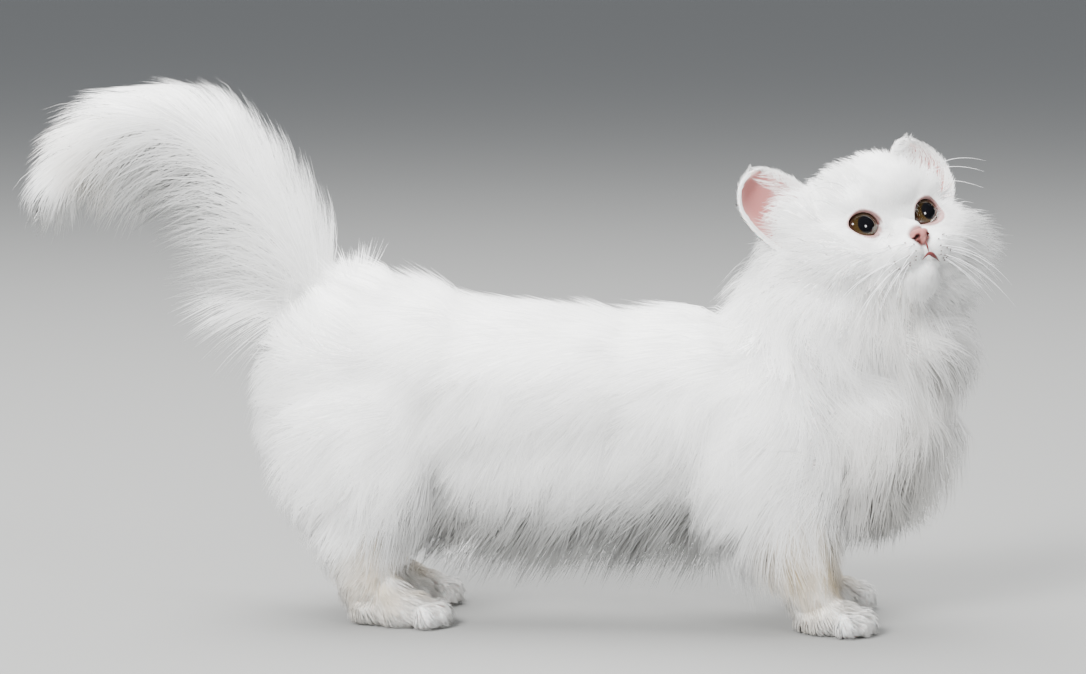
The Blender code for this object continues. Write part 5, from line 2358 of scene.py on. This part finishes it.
class Soles:
    """The pink pads under the paws."""

    def __init__(self, body: BodyPlan, placement: Placement) -> None:
        """Keep the body's plan."""
        self.body, self.placement = body, placement

    def build(self, material: bpy.types.Material) -> bpy.types.Object:
        """One large pad and four toe pads under each paw, flat where they rest.

        Args:
            material: The pads' finish.

        Returns:
            The pads.
        """
        masses = []
        for centre, toe_out, _ in self.body.paw_frames():
            turn = np.array(Matrix.Rotation(toe_out, 3, "Z"))
            spots = [((-2, 0, 2.0), (6.5, 7.5, 2.6))]
            spots += [((-4.5, side * 3.4, 2.0), (4, 3.6, 2.5)) for side in (1, -1)]
            spots += [(spot, (3.9, 2.9, 2.5)) for spot, _ in self.body.toes(14.0, 12.2, 2.0)]
            for spot, radii in spots:
                masses.append(Ball(tuple(centre + turn @ np.array(spot)), radii, turn))
        item = clay("paw_pads", masses, self.placement, 0.8, 4)
        places = points_of(item.data)
        places[:, 2] = np.maximum(places[:, 2], 0.0)
        item.data.vertices.foreach_set("co", places.ravel())
        return dress(item, material)


@dataclass(frozen=True)
class Studio:
    """The pale floor, the soft lights and the camera at the photograph's angle."""

    target: tuple = (0.0153, 0.0, 0.1472)
    distance: float = 1.8
    elevation: float = math.radians(7)
    azimuth: float = math.radians(4.8)
    field: float = math.radians(17.8)
    floor_side: float = 30.0
    # Each lamp's place, the length of its side in metres, its power in watts, and whether it
    # shows in glossy surfaces.
    lamps: tuple = (
        ("key", (-1.1, -1.9, 1.9), 1.2, 165, False), ("fill", (1.9, -1.6, 1.25), 1.6, 14, False),
        ("top", (0.0, 0.5, 2.2), 2.0, 150, False), ("key_glint", (-1.0, -1.7, 1.7), 0.42, 24, True),
        ("fill_glint", (1.7, -1.4, 1.1), 0.4, 16, True),
    )

    def floor(self) -> bpy.types.Object:
        """A wide plain floor.

        Returns:
            The floor.
        """
        side = self.floor_side
        corners = [(-side, -side, 0), (side, -side, 0), (side, side, 0), (-side, side, 0)]
        item = new_shape("floor", corners, [], [(0, 1, 2, 3)])
        item.data.materials.append(FINISHES["floor"].build())
        return item

    def lamp(self, name: str, place: tuple, size: float, power: float, seen: bool) -> None:
        """A square soft light that faces the cat.

        Args:
            name: Its name.
            place: Where it hangs.
            size: The length of its side in metres.
            power: Its power in watts.
            seen: Whether it shows in glossy surfaces.
        """
        data = bpy.data.lights.new(name, "AREA")
        data.size = size
        data.energy = power
        item = bpy.data.objects.new(name, data)
        bpy.context.scene.collection.objects.link(item)
        item.location = place
        aim = Vector(self.target) - Vector(place)
        item.rotation_euler = aim.to_track_quat("-Z", "Y").to_euler()
        item.visible_glossy = seen
        item.visible_camera = False

    def lights(self) -> None:
        """The lamps and a pale world."""
        for lamp in self.lamps:
            self.lamp(*lamp)
        world = bpy.data.worlds.new("studio")
        world.use_nodes = True
        sky = world.node_tree.nodes["Background"].inputs
        sky["Color"].default_value = (0.80, 0.84, 0.90, 1)
        sky["Strength"].default_value = 0.8
        bpy.context.scene.world = world
        world.cycles_visibility.glossy = False

    def camera(self, placement: Placement) -> None:
        """The camera, which stands where the photographer stood.

        Args:
            placement: Where the drawing stands in the part's frame.
        """
        data = bpy.data.cameras.new("camera")
        data.angle = self.field
        data.clip_end = 100
        item = bpy.data.objects.new("camera", data)
        bpy.context.scene.collection.objects.link(item)
        target = Vector(self.target) + Vector(placement.shift) * MM
        away = Vector((
            math.sin(self.azimuth) * math.cos(self.elevation),
            -math.cos(self.azimuth) * math.cos(self.elevation), math.sin(self.elevation),
        ))
        item.location = target + away * self.distance
        item.rotation_euler = (-away).to_track_quat("-Z", "Y").to_euler()
        bpy.context.scene.camera = item


FLESH = (
    "torso", "neck", "head", "tail_base", "tail_middle", "tail_tip", "front_leg_left", "front_leg_right",
    "hind_leg_left", "hind_leg_right", "front_paw_left", "front_paw_right", "hind_paw_left",
    "hind_paw_right",
)


def settle(item: bpy.types.Object, slot: str, *nodes: str) -> None:
    """Hand a finished piece to the frame.

    Args:
        item: The piece.
        slot: The name of the material slot, which is only logged.
        nodes: The solids that it stands for.
    """
    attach(item, "root")
    if nodes:
        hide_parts(*nodes)
    item.data.calc_loop_triangles()
    LOG.info("%s: %d triangles, slot %s", item.name, len(item.data.loop_triangles), slot)


def main() -> None:
    """Build the cat's skin, face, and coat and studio."""
    logging.basicConfig(level=logging.INFO, format="%(relativeCreated)6d ms %(message)s")
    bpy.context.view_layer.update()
    pose, eyes, body = HeadPose(), EyePlan(), BodyPlan()
    head = HeadPlan(pose, eyes)
    placement = Placement.from_eye(pose, eyes)
    LOG.info("placement shift %s", placement.shift)
    markings_and_shade = MarkingsAndShade(body)
    materials = {name: finish.build() for name, finish in FINISHES.items() if name != "floor"}

    skin = dress(Skin(body, head, placement, markings_and_shade).build(), materials["skin"])
    roots = Roots.from_surface(skin, placement, ROOT_TRIANGLES)
    LOG.info("roots: %d triangles", len(roots.areas))
    settle(skin, "skin", *FLESH)
    for piece in Coat(body, head, placement, markings_and_shade).build(roots, materials["coat"]):
        settle(piece, "coat")
    for side in Side:
        eye = Eye(head, placement, side)
        settle(eye.ball(materials["eye"]), "eye", f"eye_{eye.word}")
        settle(eye.rim(materials["lid"]), "skin")
        settle(eye.corner(materials["lid"]), "skin")
        ear = Ear(head, placement, side)
        settle(ear.shell(materials["ear"]), "skin", f"ear_{ear.word}")
        settle(ear.fur(materials["coat"], markings_and_shade), "coat")
    muzzle = Muzzle(head, placement)
    settle(muzzle.nose(materials["nose"]), "skin", "nose")
    settle(muzzle.lips(materials["lips"]), "skin")
    settle(muzzle.dots(materials["spots"]), "skin")
    settle(muzzle.whiskers(materials["whiskers"]), "coat")
    settle(Soles(body, placement).build(materials["pads"]), "skin")
    studio = Studio()
    studio.floor()
    studio.lights()
    studio.camera(placement)


if __name__ == "__main__":
    main()
